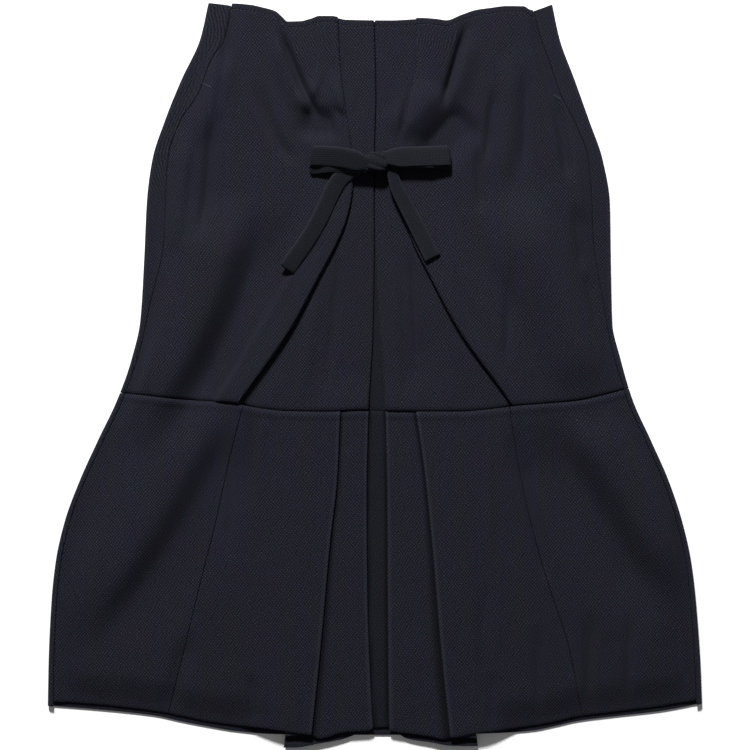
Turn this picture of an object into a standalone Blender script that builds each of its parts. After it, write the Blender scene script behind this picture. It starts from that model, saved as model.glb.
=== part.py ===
"""Midi skirt in heavy wool, laid flat with its front up.

The skirt has a smooth upper part, a curved seam and a flared flounce. Two front side panels
fold back over a pleated centre panel and are held together by a bow of the skirt's own cloth.
The flounce opens in deep pleats at centre front.

Lengths are millimetres and become metres in place(). "down" is the distance from the line
through the waist's highest point towards the hem, and x runs from the viewer's left to right.
"""

import math
from types import SimpleNamespace

import bpy
import numpy as np

MM = 0.001

# Cloth and how its layers lie on each other
CLOTH = 1.6
PITCH = 2.2
SEAM_GAP = 0.4
SIDE_FOLD_RADIUS = 1.9
EDGE_INSET = CLOTH / 2
BACK = CLOTH / 2
UNDERLAY = BACK + PITCH
PLEAT_RETURN = UNDERLAY + PITCH
OVER_PLEAT = PLEAT_RETURN + PITCH
OUTER_RETURN = OVER_PLEAT + PITCH
OUTER = OUTER_RETURN + PITCH
FRONT = BACK + 2 * SIDE_FOLD_RADIUS
LOWEST_FRONT = BACK + PITCH
LOWEST_EASE = 0.4
CROWN = 1.8
CROWN_EASE = 45.0

# Middle of the laid skirt, which becomes the origin
MIDDLE_X = 0.6
MIDDLE_DOWN = 392.0

# Hidden parts of the pleats, and how the cloth over them falls back to the front's level
PLEAT_RETURN_WIDTH = 28.0
UNDERLAY_HALF_WIDTH = 31.0
FLOUNCE_RETURN_WIDTH = 42.0
STACK_MARGIN = 3.0
STACK_FALL = 45.0
GORE_STACK_FALL = 54.0
PACKED_MARGIN = 2.0
PACKED_FALL = 8.0
STAND_OFF_REACH = 4.0
STAND_OFF_FALL = 24.0

# The flounce's side seams, and the rise of the front where it is sewn over the flounce's pleats
SIDE_SEAM_INSET = 6.0
SEAM_RISE = 2.2
SEAM_RISE_FROM = 385.0
SEAM_RISE_TO = 428.0
SEAM_RISE_REACH = 50.0

# The tie that the bow is made of
TIE = 3.4
TIE_CLEARANCE = 0.5


def columns(names, rows):
    """A small table: one array for each named column."""
    return SimpleNamespace(**dict(zip(names.split(), np.array(rows, float).T)))


# Outer edge of the laid skirt
OUTLINE = columns("down left right", [
    (2, -174, 186),
    (41, -183, 194.5),
    (83, -202.5, 210),
    (125, -219.5, 225),
    (167, -233, 239.5),
    (209, -238.5, 246.5),
    (272, -241.5, 247.5),
    (335, -245.5, 249),
    (377, -255, 258.5),
    (419, -270, 271),
    (461, -290, 290),
    (503, -309, 308.5),
    (545, -324.5, 322.5),
    (587, -334, 332),
    (629, -338.5, 337),
    (692, -341.5, 341.5),
    (750, -342.5, 343.7),
])

# Side seams, which lie in on the front and bow out over the pocket mouths
SIDE_SEAM = columns("down left right", [
    (2, -149, 163.8),
    (39, -156.5, 174),
    (64, -171.5, 183),
    (98, -184, 194.5),
    (127, -203.5, 209.5),
    (166, -216, 224),
    (209, -218.5, 227.5),
    (248, -219.5, 229),
    (324, -236.3, 241),
    (366, -245.5, 249),
    (430, -268.5, 269.5),
])

# Folded inner edges of the front side panels
FRONT_FOLD = columns("down left right", [
    (10, -38.5, 43),
    (62, -36, 44),
    (104, -31.5, 36),
    (146, -25, 28.5),
    (172, -23, 19.5),
    (194, -22.5, 15.5),
    (208, -24, 21),
    (231, -29.5, 31.5),
    (256, -40, 41),
    (288, -57, 57),
    (345, -87.5, 87.5),
    (412, -135, 135.5),
    (436, -152, 152),
])

# Width that the centre panel and the fold's return run on under the side panel, and how far
# the folded edge stands off
UNDER_SIDE = columns("down width stand_off", [
    (10, 10, 0),
    (150, 9, 0),
    (208, 10, 0.8),
    (262, 22, 1.8),
    (345, 28, 2),
    (400, 22, 1),
    (436, 18, 0),
])

# Folds of the inverted pleat at centre front, above and below the curved seam
CENTRE_PLEAT = columns("down left right", [
    (10, -0.7, 0.1),
    (104, 1.4, 2.2),
    (146, 0.2, 1),
    (208, -0.4, 0.4),
    (262, -0.3, 1.3),
    (345, -1.5, 5.5),
    (431, -6, 11.5),
    (524, -8, 13.5),
    (629, -7, 14),
    (733, -3, 15),
    (775, -0.4, 16),
])

# Outer folds of the flounce's pleats, and the depth of the hidden fold beyond them
OUTER_PLEAT = columns("down left right depth", [
    (425, -35.5, 42.5, 13),
    (498, -38.5, 53, 17),
    (566, -46, 60, 20),
    (682, -56.5, 70, 25),
    (782, -67, 80.5, 28),
])

# Seams between the flounce's centre and side gores
GORE_SEAM = columns("down left right", [
    (420, -136, 140),
    (486, -153, 150.5),
    (550, -167, 164.5),
    (610, -182, 181.5),
    (676, -198, 203),
    (755, -218, 218.5),
])

# Edges that run across, from left to right
FRONT_WAIST = columns("x down", [
    (-180, 3), (-149, 3.2), (-130, 5), (-116, 8), (-104, 11.5), (-96, 18), (-91, 22.5),
    (-78, 22.5), (-66, 20), (-58, 17.4), (-45, 17.3), (-29, 20), (17, 20.7), (48, 19.4),
    (64, 20.5), (75, 21.8), (90, 16), (106, 10.5), (122, 8.2), (138, 6.3), (156, 6.2),
    (164, 10), (190, 10),
])
BACK_WAIST = columns("x down", [
    (-176, 2), (-162, 3.6), (-149, 5.8), (-120, 12), (-90, 26), (0, 26), (90, 24),
    (120, 13), (150, 10), (164, 11.4), (174, 8.4), (188, 3),
])
CURVED_SEAM = columns("x down", [
    (-275, 410), (-235, 413.7), (-199, 417.8), (-154, 420.5), (-117, 427), (-91, 429.6),
    (-46, 430.2), (-15, 428.5), (10, 429.5), (45, 430), (90, 430), (115, 428.2),
    (149, 424), (174, 422), (210, 419), (235, 414), (275, 404),
])
GORE_HEM = columns("x down", [
    (-345, 733.5), (-300, 736.5), (-272, 739), (-228, 744.5), (-204, 749), (-178, 754.5),
    (-145, 759), (-109, 761.8), (-83, 765.5), (-66, 767.5), (0, 771), (81, 770.5),
    (104, 766.5), (132, 763.3), (166, 759.5), (190, 755.3), (213, 750), (255, 744.5),
    (300, 739), (345, 731),
])
MIDDLE_HEM = columns("x down", [
    (-110, 771), (-72, 768.6), (-66, 769), (-59, 772.4), (-48, 770.5), (-36, 766.5),
    (-22, 765), (-6, 764), (0, 761.5), (12, 762), (16, 764), (35, 767), (49, 768.6),
    (61, 770.7), (72, 773.3), (79, 772), (86, 771), (120, 772),
])
UNDERLAY_HEM = columns("x down", [
    (-94, 782), (-81, 781.8), (-59, 778), (-44, 775.7), (-31, 773), (-16, 767), (2, 761.5),
    (14, 761), (24, 767), (34, 773), (61, 777), (79, 780), (100, 780.5),
])
BACK_HEM = columns("x down", [
    (-345, 738.5), (-272, 744.5), (-228, 749.7), (-204, 755), (-178, 760), (-145, 765.5),
    (-109, 768.6), (-60, 769.5), (60, 769.5), (132, 767.6), (166, 765), (190, 760.2),
    (213, 755), (255, 749.7), (300, 744.5), (345, 736),
])

# The largest troughs (negative) and ridges (positive) of the front as it lies
FOLDS = columns("x1 down1 x2 down2 x3 down3 half_width height", [
    (-131, 258, -175, 338, -224, 412, 17, -3.6),
    (-158, 243, -206, 322, -250, 394, 20, 3.4),
    (-98, 268, -142, 352, -180, 420, 22, 3.0),
    (-97, 24, -86, 62, -70, 102, 9, -2.6),
    (-112, 22, -102, 68, -86, 112, 16, 2.6),
    (-76, 116, -56, 121, -38, 118, 11, -6.0),
    (-68, 140, -52, 141, -36, 136, 9, 1.6),
    (96, 26, 88, 59, 74, 94, 9, -2.6),
    (113, 28, 104, 66, 93, 108, 15, 2.4),
    (86, 114, 68, 127, 46, 145, 14, -6.0),
    (124, 82, 119, 156, 103, 240, 11, -2.2),
    (140, 50, 140, 125, 132, 205, 13, 2.4),
    (108, 95, 103, 150, 90, 215, 14, 1.8),
    (132, 258, 153, 345, 180, 415, 22, -2.0),
    (176, 250, 198, 335, 222, 405, 24, 2.6),
    (84, 282, 112, 338, 148, 410, 18, 2.2),
    (163, 16, 187, 122, 213, 290, 9, -2.6),
    (-153, 14, -161, 122, -178, 250, 9, -1.8),
    (-141, 434, -214, 561, -293, 668, 17, -3.6),
    (-166, 424, -246, 540, -316, 632, 22, 3.0),
    (-116, 462, -184, 584, -264, 690, 22, 3.0),
    (-236, 416, -259, 477, -279, 540, 13, -2.4),
    (187, 428, 250, 519, 296, 616, 18, -3.6),
    (214, 418, 280, 503, 322, 592, 20, 3.0),
    (162, 446, 221, 541, 270, 645, 20, 2.6),
    (143, 428, 169, 550, 181, 612, 12, -2.0),
    (-190, 655, -205, 705, -215, 750, 15, -2.0),
    (226, 645, 225, 700, 224, 750, 14, -2.2),
    (-30, 262, -43, 345, -52, 424, 12, 1.2),
    (18, 262, 24, 345, 27, 424, 10, 1.0),
])
FOLD_FADE = 0.3
EDGE_CALM = 18.0


def smooth(knots, values, at):
    """Monotone cubic through the knots, so that an edge curves without overshooting."""
    at = np.clip(at, knots[0], knots[-1])
    step = np.diff(knots)
    slope = np.diff(values) / step
    tangent = np.concatenate([slope[:1], np.zeros(len(slope) - 1), slope[-1:]])
    before, after = slope[:-1], slope[1:]
    turning = before * after <= 0
    safe_before = np.where(turning, 1, before)
    safe_after = np.where(turning, 1, after)
    tangent[1:-1] = np.where(turning, 0, 2 / (1 / safe_before + 1 / safe_after))
    i = np.clip(np.searchsorted(knots, at, side="right") - 1, 0, len(step) - 1)
    t = (at - knots[i]) / step[i]
    hermite = (1 + 2 * t) * (1 - t) ** 2 * values[i] + t * t * (3 - 2 * t) * values[i + 1]
    return hermite + step[i] * t * (1 - t) * ((1 - t) * tangent[i] - t * tangent[i + 1])


def edge(table, column):
    """A line that runs down the skirt, as x for a distance down."""
    return lambda down: smooth(table.down, getattr(table, column), down)


def across_edge(table, offset=0.0):
    """A line that runs across the skirt, as the distance down for an x."""
    return lambda x: smooth(table.x, table.down, x) + offset


def shifted(line, by):
    return lambda at: line(at) + by


def ease(t):
    t = np.clip(t, 0, 1)
    return t * t * (3 - 2 * t)


def near(distance, reach, fall):
    """1 up to reach, easing to 0 over the fall beyond it."""
    return 1 - ease((distance - reach) / fall)


def bent(start, middle, end, share):
    """A curve from start to end that passes through the middle at half way."""
    control = 2 * middle - (start + end) / 2
    return (1 - share) ** 2 * start + 2 * share * (1 - share) * control + share ** 2 * end


def relief(x, down):
    """Height that the front's troughs and ridges add."""
    total = np.zeros(np.broadcast(x, down).shape)
    steps = np.linspace(0, 1, 25)
    for x1, d1, x2, d2, x3, d3, half_width, height in zip(*vars(FOLDS).values()):
        along_x = bent(x1, x2, x3, steps)
        along_d = bent(d1, d2, d3, steps)
        far = np.hypot(np.subtract.outer(x, along_x), np.subtract.outer(down, along_d))
        nearest = steps[far.argmin(axis=-1)]
        fade = ease(nearest / FOLD_FADE) * ease((1 - nearest) / FOLD_FADE)
        bell = 0.5 + 0.5 * np.cos(np.pi * np.clip(far.min(axis=-1) / half_width, 0, 1))
        total += height * bell * fade
    return total


def from_outline(x, down):
    return np.minimum(x - edge(OUTLINE, "left")(down), edge(OUTLINE, "right")(down) - x)


def waves(x, down, packed):
    """Relief that dies out at the side folds, with no trough over packed layers."""
    raw = relief(x, down) * ease((from_outline(x, down) - SIDE_SEAM_INSET) / EDGE_CALM)
    return np.maximum(raw, 0) + np.minimum(raw, 0) * (1 - packed)


def clear_of_back(height):
    """The same height, eased so that no trough reaches the back."""
    return LOWEST_FRONT + LOWEST_EASE * np.logaddexp(0, (height - LOWEST_FRONT) / LOWEST_EASE)


def front_level(x, down):
    """The front's soft crown over the back."""
    return FRONT + CROWN * ease((from_outline(x, down) - SIDE_SEAM_INSET) / CROWN_EASE)


def from_pleat(x, down):
    """Distance from the line where the centre pleat's folds meet."""
    meet = (edge(CENTRE_PLEAT, "left")(down) + edge(CENTRE_PLEAT, "right")(down)) / 2
    return np.abs(x - meet)


def centre_level(x, down):
    """Middle of the centre panel's wall, without its folds."""
    base = front_level(x, down)
    away = from_pleat(x, down)
    over_pleat = (OVER_PLEAT - base) * near(away, UNDERLAY_HALF_WIDTH + STACK_MARGIN, STACK_FALL)
    to_seam = ease((down - SEAM_RISE_FROM) / (SEAM_RISE_TO - SEAM_RISE_FROM))
    over_gores = SEAM_RISE * to_seam * near(away, SEAM_RISE_REACH, STACK_FALL)
    return base + over_pleat + over_gores


def centre_height(x, down):
    inside = np.minimum(
        x - edge(FRONT_FOLD, "left")(down), edge(FRONT_FOLD, "right")(down) - x)
    packed = near(from_pleat(x, down), UNDERLAY_HALF_WIDTH + PACKED_MARGIN, PACKED_FALL)
    clear_of_fold = ease((inside - PACKED_MARGIN) / PACKED_FALL)
    return clear_of_back(centre_level(x, down) + waves(x, down, packed) * clear_of_fold)


def side_return_height(x, down):
    return centre_level(x, down) + PITCH


def side_height(x, down):
    """Middle of the front side panels' wall, and of the back where it shows at the sides."""
    left, right = edge(FRONT_FOLD, "left")(down), edge(FRONT_FOLD, "right")(down)
    outward = np.where(x < (left + right) / 2, left - x, x - right)
    hidden = edge(UNDER_SIDE, "width")(down)
    lifted = edge(UNDER_SIDE, "stand_off")(down) * near(outward, STAND_OFF_REACH, STAND_OFF_FALL)
    over_centre = 2 * PITCH * near(outward, hidden + STACK_MARGIN, STACK_FALL)
    packed = near(outward, hidden + PACKED_MARGIN, PACKED_FALL)
    return clear_of_back(centre_level(x, down) + over_centre + lifted + waves(x, down, packed))


def gore_height(x, down):
    """Middle of the flounce's outer wall."""
    depth = edge(OUTER_PLEAT, "depth")(down)
    left = edge(OUTER_PLEAT, "left")(down) - depth
    right = edge(OUTER_PLEAT, "right")(down) + depth
    outward = np.where(x < (left + right) / 2, left - x, x - right)
    packed = near(outward, PACKED_MARGIN, PACKED_FALL)
    base = front_level(x, down)
    over_pleats = (OUTER - base) * near(outward, STACK_MARGIN, GORE_STACK_FALL)
    return clear_of_back(base + over_pleats + waves(x, down, packed))


def level(height):
    return lambda x, down: height + 0 * x


def fold_root(fold, low, high, side):
    """Where a fold's round edge begins on the flat, for a fold that faces to that side."""
    def root(down):
        tip = fold(down)
        return tip - side * ((high(tip, down) - low(tip, down)) / 2 + EDGE_INSET)
    return root


def flat_lanes(start, end, shares, height):
    """Lines down the cloth at shares of the way across from start to end."""
    def lane(share):
        def at(down):
            x = start(down) + (end(down) - start(down)) * share
            return x, height(x, down)
        return at
    return [lane(share) for share in shares]


def turn_lanes(fold, low, high, side, steps=3, downwards=False):
    """Lines down the cloth round a fold's edge, from its lower layer to its upper one."""
    def lane(angle):
        def at(down):
            tip = fold(down)
            bottom, top = low(tip, down), high(tip, down)
            radius = (top - bottom) / 2
            x = tip - side * (radius + EDGE_INSET - radius * math.sin(angle))
            return x, (top + bottom) / 2 - radius * math.cos(angle)
        return at
    lanes = [lane(math.pi * i / steps) for i in range(steps + 1)]
    return lanes[::-1] if downwards else lanes


def inner_shares(count):
    """Shares strictly between two edges."""
    return [(i + 1) / (count + 1) for i in range(count)]


def wool(name, colour):
    material = bpy.data.materials.new(name)
    material.use_nodes = True
    shader = material.node_tree.nodes["Principled BSDF"]
    shader.inputs["Base Color"].default_value = (*colour, 1)
    shader.inputs["Roughness"].default_value = 0.95
    shader.inputs["Metallic"].default_value = 0
    return material


NAVY = (0.015, 0.015, 0.024)
NAVY_BLUE = (0.018, 0.018, 0.03)
NAVY_DARK = (0.01, 0.01, 0.016)


def place(x, down, z):
    return ((x - MIDDLE_X) * MM, (MIDDLE_DOWN - down) * MM, z * MM)


def cloth_object(name, grid, colour, thickness):
    """An object from a grid of points, given its wall by Solidify."""
    across, along = len(grid), len(grid[0])
    points = [place(*point) for lane in grid for point in lane]
    faces = [
        (i * along + j, i * along + j + 1, (i + 1) * along + j + 1, (i + 1) * along + j)
        for i in range(across - 1)
        for j in range(along - 1)
    ]
    mesh = bpy.data.meshes.new(name)
    mesh.from_pydata(points, [], faces)
    mesh.shade_smooth()
    piece = bpy.data.objects.new(name, mesh)
    piece.data.materials.append(wool(name, colour))
    skirt.objects.link(piece)
    wall = piece.modifiers.new("wall", "SOLIDIFY")
    wall.thickness = thickness * MM
    wall.offset = 0
    wall.use_even_offset = True
    return piece


def sheet(name, lanes, top, bottoms, rows, colour):
    """A panel whose lines run from its upper seam to its lower one, or each to its own."""
    shares = np.linspace(0, 1, rows + 1)
    grid = []
    if callable(bottoms):
        bottoms = [bottoms] * len(lanes)
    for lane, bottom in zip(lanes, bottoms):
        down = top(0.0) + (bottom(0.0) - top(0.0)) * shares
        for _ in range(8):
            x, _ = lane(down)
            down = top(x) + (bottom(x) - top(x)) * shares
        x, z = lane(down)
        grid.append(list(zip(x, down, z)))
    return cloth_object(name, grid, colour, CLOTH)


SIDES = (("left", -1), ("right", 1))
UPPER_ROWS = 24
FLOUNCE_ROWS = 15


def back_wrap_lanes(seams, front_height, strip_lanes, back_lanes):
    """Lines of a back: in from the left seam on the front, round it, and out to the right one."""
    lanes = []
    outline = {name: edge(OUTLINE, name) for name, _ in SIDES}
    roots = {
        name: fold_root(outline[name], level(BACK), level(FRONT), side) for name, side in SIDES}
    strip = [i / strip_lanes for i in range(strip_lanes)]
    lanes += flat_lanes(seams["left"], roots["left"], strip, front_height)
    lanes += turn_lanes(outline["left"], level(BACK), level(FRONT), -1, downwards=True)
    lanes += flat_lanes(roots["left"], roots["right"], inner_shares(back_lanes), level(BACK))
    lanes += turn_lanes(outline["right"], level(BACK), level(FRONT), 1)
    lanes += flat_lanes(seams["right"], roots["right"], strip, front_height)[::-1]
    return lanes


def back_upper():
    seams = {name: shifted(edge(SIDE_SEAM, name), side * SEAM_GAP / 2) for name, side in SIDES}
    lanes = back_wrap_lanes(seams, side_height, 3, 9)
    sheet("back_upper", lanes, across_edge(BACK_WAIST), across_edge(CURVED_SEAM, -SEAM_GAP / 2),
          UPPER_ROWS, NAVY)


def back_flounce():
    inset = SIDE_SEAM_INSET - SEAM_GAP / 2
    seams = {name: shifted(edge(OUTLINE, name), -side * inset) for name, side in SIDES}
    lanes = back_wrap_lanes(seams, gore_height, 1, 9)
    sheet("back_flounce", lanes, across_edge(CURVED_SEAM, SEAM_GAP / 2), across_edge(BACK_HEM),
          FLOUNCE_ROWS, NAVY_DARK)


def front_side(name, side):
    """Side panel with its folded edge and the return under it."""
    fold = edge(FRONT_FOLD, name)
    root = fold_root(fold, side_return_height, side_height, -side)
    seam = shifted(edge(SIDE_SEAM, name), -side * SEAM_GAP / 2)

    def return_end(down):
        return fold(down) + side * edge(UNDER_SIDE, "width")(down)

    lanes = flat_lanes(return_end, root, (0, 0.5), side_return_height)
    lanes += turn_lanes(fold, side_return_height, side_height, -side)
    lanes += flat_lanes(root, seam, inner_shares(14) + [1], side_height)
    sheet(f"front_side_{name}", lanes, across_edge(FRONT_WAIST),
          across_edge(CURVED_SEAM, -SEAM_GAP / 2), UPPER_ROWS, NAVY)


def front_centre(name, side):
    """Centre panel from under the side panel to its fold at centre front, and the return."""
    fold = edge(CENTRE_PLEAT, name)
    root = fold_root(fold, level(PLEAT_RETURN), centre_height, -side)

    def hidden_edge(down):
        return edge(FRONT_FOLD, name)(down) + side * edge(UNDER_SIDE, "width")(down)

    def return_end(down):
        return fold(down) + side * PLEAT_RETURN_WIDTH

    lanes = flat_lanes(return_end, root, (0,), level(PLEAT_RETURN))
    lanes += turn_lanes(fold, level(PLEAT_RETURN), centre_height, -side)
    lanes += flat_lanes(root, hidden_edge, inner_shares(8) + [1], centre_height)
    sheet(f"front_centre_{name}", lanes, across_edge(FRONT_WAIST, SEAM_GAP),
          across_edge(CURVED_SEAM, -SEAM_GAP / 2), UPPER_ROWS, NAVY_BLUE)


def front_underlay():
    def end(side):
        return lambda down: edge(CENTRE_PLEAT, "left")(down) + side * UNDERLAY_HALF_WIDTH

    lanes = flat_lanes(end(-1), end(1), [i / 4 for i in range(5)], level(UNDERLAY))
    sheet("front_underlay", lanes, across_edge(FRONT_WAIST, 3 * SEAM_GAP),
          across_edge(CURVED_SEAM, -SEAM_GAP / 2), UPPER_ROWS // 2, NAVY_DARK)


def flounce_centre(name, side):
    """Centre gore with its pleats: outer fold, hidden fold and the fold beside centre front."""
    outer, middle = edge(OUTER_PLEAT, name), edge(CENTRE_PLEAT, name)
    seam = shifted(edge(GORE_SEAM, name), -side * SEAM_GAP / 2)

    def hidden(down):
        return outer(down) + side * edge(OUTER_PLEAT, "depth")(down)

    def return_end(down):
        return middle(down) + side * FLOUNCE_RETURN_WIDTH

    outer_root = fold_root(outer, level(OUTER_RETURN), gore_height, -side)
    hidden_root = fold_root(hidden, level(OVER_PLEAT), level(OUTER_RETURN), side)
    middle_root = fold_root(middle, level(PLEAT_RETURN), level(OVER_PLEAT), -side)
    lanes = flat_lanes(return_end, middle_root, (0,), level(PLEAT_RETURN))
    lanes += turn_lanes(middle, level(PLEAT_RETURN), level(OVER_PLEAT), -side)
    lanes += flat_lanes(middle_root, hidden_root, inner_shares(5), level(OVER_PLEAT))
    lanes += turn_lanes(hidden, level(OVER_PLEAT), level(OUTER_RETURN), side)
    hems = [across_edge(MIDDLE_HEM)] * len(lanes)
    lanes += turn_lanes(outer, level(OUTER_RETURN), gore_height, -side)
    lanes += flat_lanes(outer_root, seam, inner_shares(7) + [1], gore_height)
    hems += [across_edge(GORE_HEM)] * (len(lanes) - len(hems))
    sheet(f"flounce_centre_{name}", lanes, across_edge(CURVED_SEAM, SEAM_GAP / 2), hems,
          FLOUNCE_ROWS, NAVY_BLUE)


def flounce_side(name, side):
    gore = shifted(edge(GORE_SEAM, name), side * SEAM_GAP / 2)
    seam = shifted(edge(OUTLINE, name), -side * (SIDE_SEAM_INSET + SEAM_GAP / 2))
    lanes = flat_lanes(gore, seam, [i / 10 for i in range(11)], gore_height)
    sheet(f"flounce_side_{name}", lanes, across_edge(CURVED_SEAM, SEAM_GAP / 2),
          across_edge(GORE_HEM), FLOUNCE_ROWS, NAVY_BLUE)


def flounce_underlay():
    def end(name, side):
        return lambda down: edge(OUTER_PLEAT, name)(down) + side * edge(OUTER_PLEAT, "depth")(down)

    shares = [i / 12 for i in range(13)]
    lanes = flat_lanes(end("left", -1), end("right", 1), shares, level(UNDERLAY))
    sheet("flounce_underlay", lanes, across_edge(CURVED_SEAM, SEAM_GAP / 2),
          across_edge(UNDERLAY_HEM), FLOUNCE_ROWS // 2, NAVY_DARK)


# The bow: knot, and where each loop and tail runs
KNOT = SimpleNamespace(x=2.6, down=170.5, width=21, length=21, height=17, corner=4)
KNOT_BASE = OVER_PLEAT + CLOTH / 2 + TIE_CLEARANCE
TAIL_BASE = OUTER + CLOTH / 2 + TIE_CLEARANCE + TIE / 2
LOOP_COLUMNS = "root_x root_down tip_x tip_down under_from low_root low_tip top_root top_tip bend sag"
LOOPS = columns(LOOP_COLUMNS, [
    (-9.7, 175.5, -67, 162.5, 0, 18.9, 15, 22.8, 22.4, 2.5, 4),
    (13.7, 164.5, 79.5, 162.5, 0.16, 18.9, 15, 22.8, 22.8, 0, 4),
])
LEFT_TAIL = columns("x down lift width", [
    (-14.5, 176.5, 0, 17),
    (-28, 186, 0, 18),
    (-38, 200, 0, 18),
    (-62, 237, 0, 17.5),
    (-91.5, 282, 0, 17.5),
])
RIGHT_TAIL = columns("x down lift width", [
    (18.2, 172, 1.4, 6.5),
    (22.5, 195, 1, 13.5),
    (31.5, 213, 0.6, 15.5),
    (41, 231, 0.2, 16.5),
    (61, 270.5, 0, 17.5),
])
LOOP_WIDTH = 19.0
LOOP_PINCH = 0.62
LOOP_PINCHED_FOR = 0.3
LOOP_ARCH = 1.2


def tie_object(name, path, cross):
    """A stretch of the tie: three lines along a path, set apart by half its width."""
    grid = [
        [tuple(point + half * way) for point, way in zip(path, cross)]
        for half in (-0.5, 0, 0.5)
    ]
    return cloth_object(name, grid, NAVY, TIE)


def loop(name, row):
    """Out from the knot on top, round the tip, and back below, pinched where it is knotted."""
    root, tip = np.array([row.root_x, row.root_down]), np.array([row.tip_x, row.tip_down])
    ahead = (tip - root) / np.hypot(*(tip - root))
    radius = (row.top_tip - row.low_tip) / 2
    run = np.hypot(*(tip - root)) - radius - TIE / 2
    path, widths = [], []

    def add(share, beyond, down, height):
        lift = row.bend * math.sin(math.pi * min(share, 1))
        path.append((*(root + ahead * (run * share + beyond) + (0, down - lift)), height))
        opened = ease(share / LOOP_PINCHED_FOR)
        widths.append(LOOP_WIDTH * (LOOP_PINCH + (1 - LOOP_PINCH) * opened))

    for share in np.linspace(0, 1, 7):
        height = row.top_root + (row.top_tip - row.top_root) * share
        add(share, 0, 0, height + LOOP_ARCH * math.sin(math.pi * share))
    for angle in np.linspace(0, math.pi, 6)[1:-1]:
        height = (row.top_tip + row.low_tip) / 2 + radius * math.cos(angle)
        add(1, radius * math.sin(angle), row.sag * (1 - math.cos(angle)) / 2, height)
    for share in np.linspace(1, row.under_from, 6):
        height = row.low_root + (row.low_tip - row.low_root) * ease(2 * share - 1)
        add(share, 0, row.sag * share, height)
    cross = np.array([-ahead[1], ahead[0], 0])
    tie_object(name, np.array(path), [cross * width for width in widths])


def tail(name, table, samples=12):
    """A free end that lies down the front, over the highest cloth under its width."""
    at = np.linspace(table.down[0], table.down[-1], samples)
    x = smooth(table.down, table.x, at)
    lift = smooth(table.down, table.lift, at)
    width = smooth(table.down, table.width, at)
    surface = np.maximum.reduce([side_height(x + share * width, at) for share in (-0.5, 0, 0.5)])
    z = np.maximum(surface, OUTER) - OUTER + TAIL_BASE + lift
    slope = np.gradient(x, at)
    cross = np.stack([1 + 0 * x, -slope, 0 * x], axis=1) * (width / np.hypot(1, slope))[:, None]
    tie_object(name, np.stack([x, at, z], axis=1), cross)


def knot():
    middle = KNOT_BASE + KNOT.height / 2
    bpy.ops.mesh.primitive_cube_add(size=1, location=place(KNOT.x, KNOT.down, middle))
    piece = bpy.context.object
    piece.name = piece.data.name = "bow_knot"
    piece.scale = (KNOT.width * MM, KNOT.length * MM, KNOT.height * MM)
    bpy.ops.object.transform_apply(location=False, rotation=False, scale=True)
    round_edges = piece.modifiers.new("rounded", "BEVEL")
    round_edges.width = KNOT.corner * MM
    round_edges.segments = 3
    piece.data.materials.append(wool("bow_knot", NAVY))
    for collection in list(piece.users_collection):
        collection.objects.unlink(piece)
    skirt.objects.link(piece)


for old in list(bpy.data.objects):
    bpy.data.objects.remove(old)
skirt = bpy.data.collections.new("midi_skirt")
bpy.context.scene.collection.children.link(skirt)

back_upper()
back_flounce()
front_underlay()
flounce_underlay()
for side_name, facing in SIDES:
    front_centre(side_name, facing)
    front_side(side_name, facing)
    flounce_centre(side_name, facing)
    flounce_side(side_name, facing)
knot()
for (side_name, _), loop_row in zip(SIDES, zip(*vars(LOOPS).values())):
    loop(f"bow_loop_{side_name}", SimpleNamespace(**dict(zip(LOOP_COLUMNS.split(), loop_row))))
tail("bow_tail_left", LEFT_TAIL)
tail("bow_tail_right", RIGHT_TAIL)
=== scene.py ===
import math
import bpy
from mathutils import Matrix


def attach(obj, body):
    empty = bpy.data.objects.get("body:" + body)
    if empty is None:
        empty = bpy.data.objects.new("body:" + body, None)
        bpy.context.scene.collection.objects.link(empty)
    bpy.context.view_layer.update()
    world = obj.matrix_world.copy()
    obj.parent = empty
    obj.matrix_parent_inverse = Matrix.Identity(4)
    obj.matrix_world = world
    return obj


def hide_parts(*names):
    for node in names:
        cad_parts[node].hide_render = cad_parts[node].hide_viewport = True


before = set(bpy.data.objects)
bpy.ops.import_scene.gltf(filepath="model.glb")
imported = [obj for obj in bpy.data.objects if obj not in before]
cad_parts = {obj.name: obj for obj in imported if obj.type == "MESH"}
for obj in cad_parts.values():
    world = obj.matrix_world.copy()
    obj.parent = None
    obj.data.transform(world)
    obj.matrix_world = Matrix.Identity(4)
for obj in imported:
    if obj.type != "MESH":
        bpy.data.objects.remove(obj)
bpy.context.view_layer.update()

# Midi skirt of heavy navy wool, laid flat with its front up. Lengths are millimetres until
# laid() makes them metres: x runs from the viewer's left to right, and "down" is the distance
# from the top of the waist towards the hem.

from types import SimpleNamespace

import bmesh
import bpy
import numpy as np
from mathutils import Vector, noise


# Underlay of the front pleat
# A strip of the skirt's own wool behind the pleat at centre front. It is cut straight and
# sewn in flat at the waist and at the curved seam, so it lies level over the back.

MM = 0.001
CLOTH = 1.6
PITCH = 2.2
SEAM_GAP = 0.4
BACK = CLOTH / 2
UNDERLAY = BACK + PITCH
MIDDLE_X, MIDDLE_DOWN = 0.6, 392.0
ROUNDING = (0, 0.06, 0.22, 0.5)


def columns(names, rows):
    """A small table: one array for each named column."""
    return SimpleNamespace(**dict(zip(names.split(), np.array(rows, float).T)))


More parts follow.
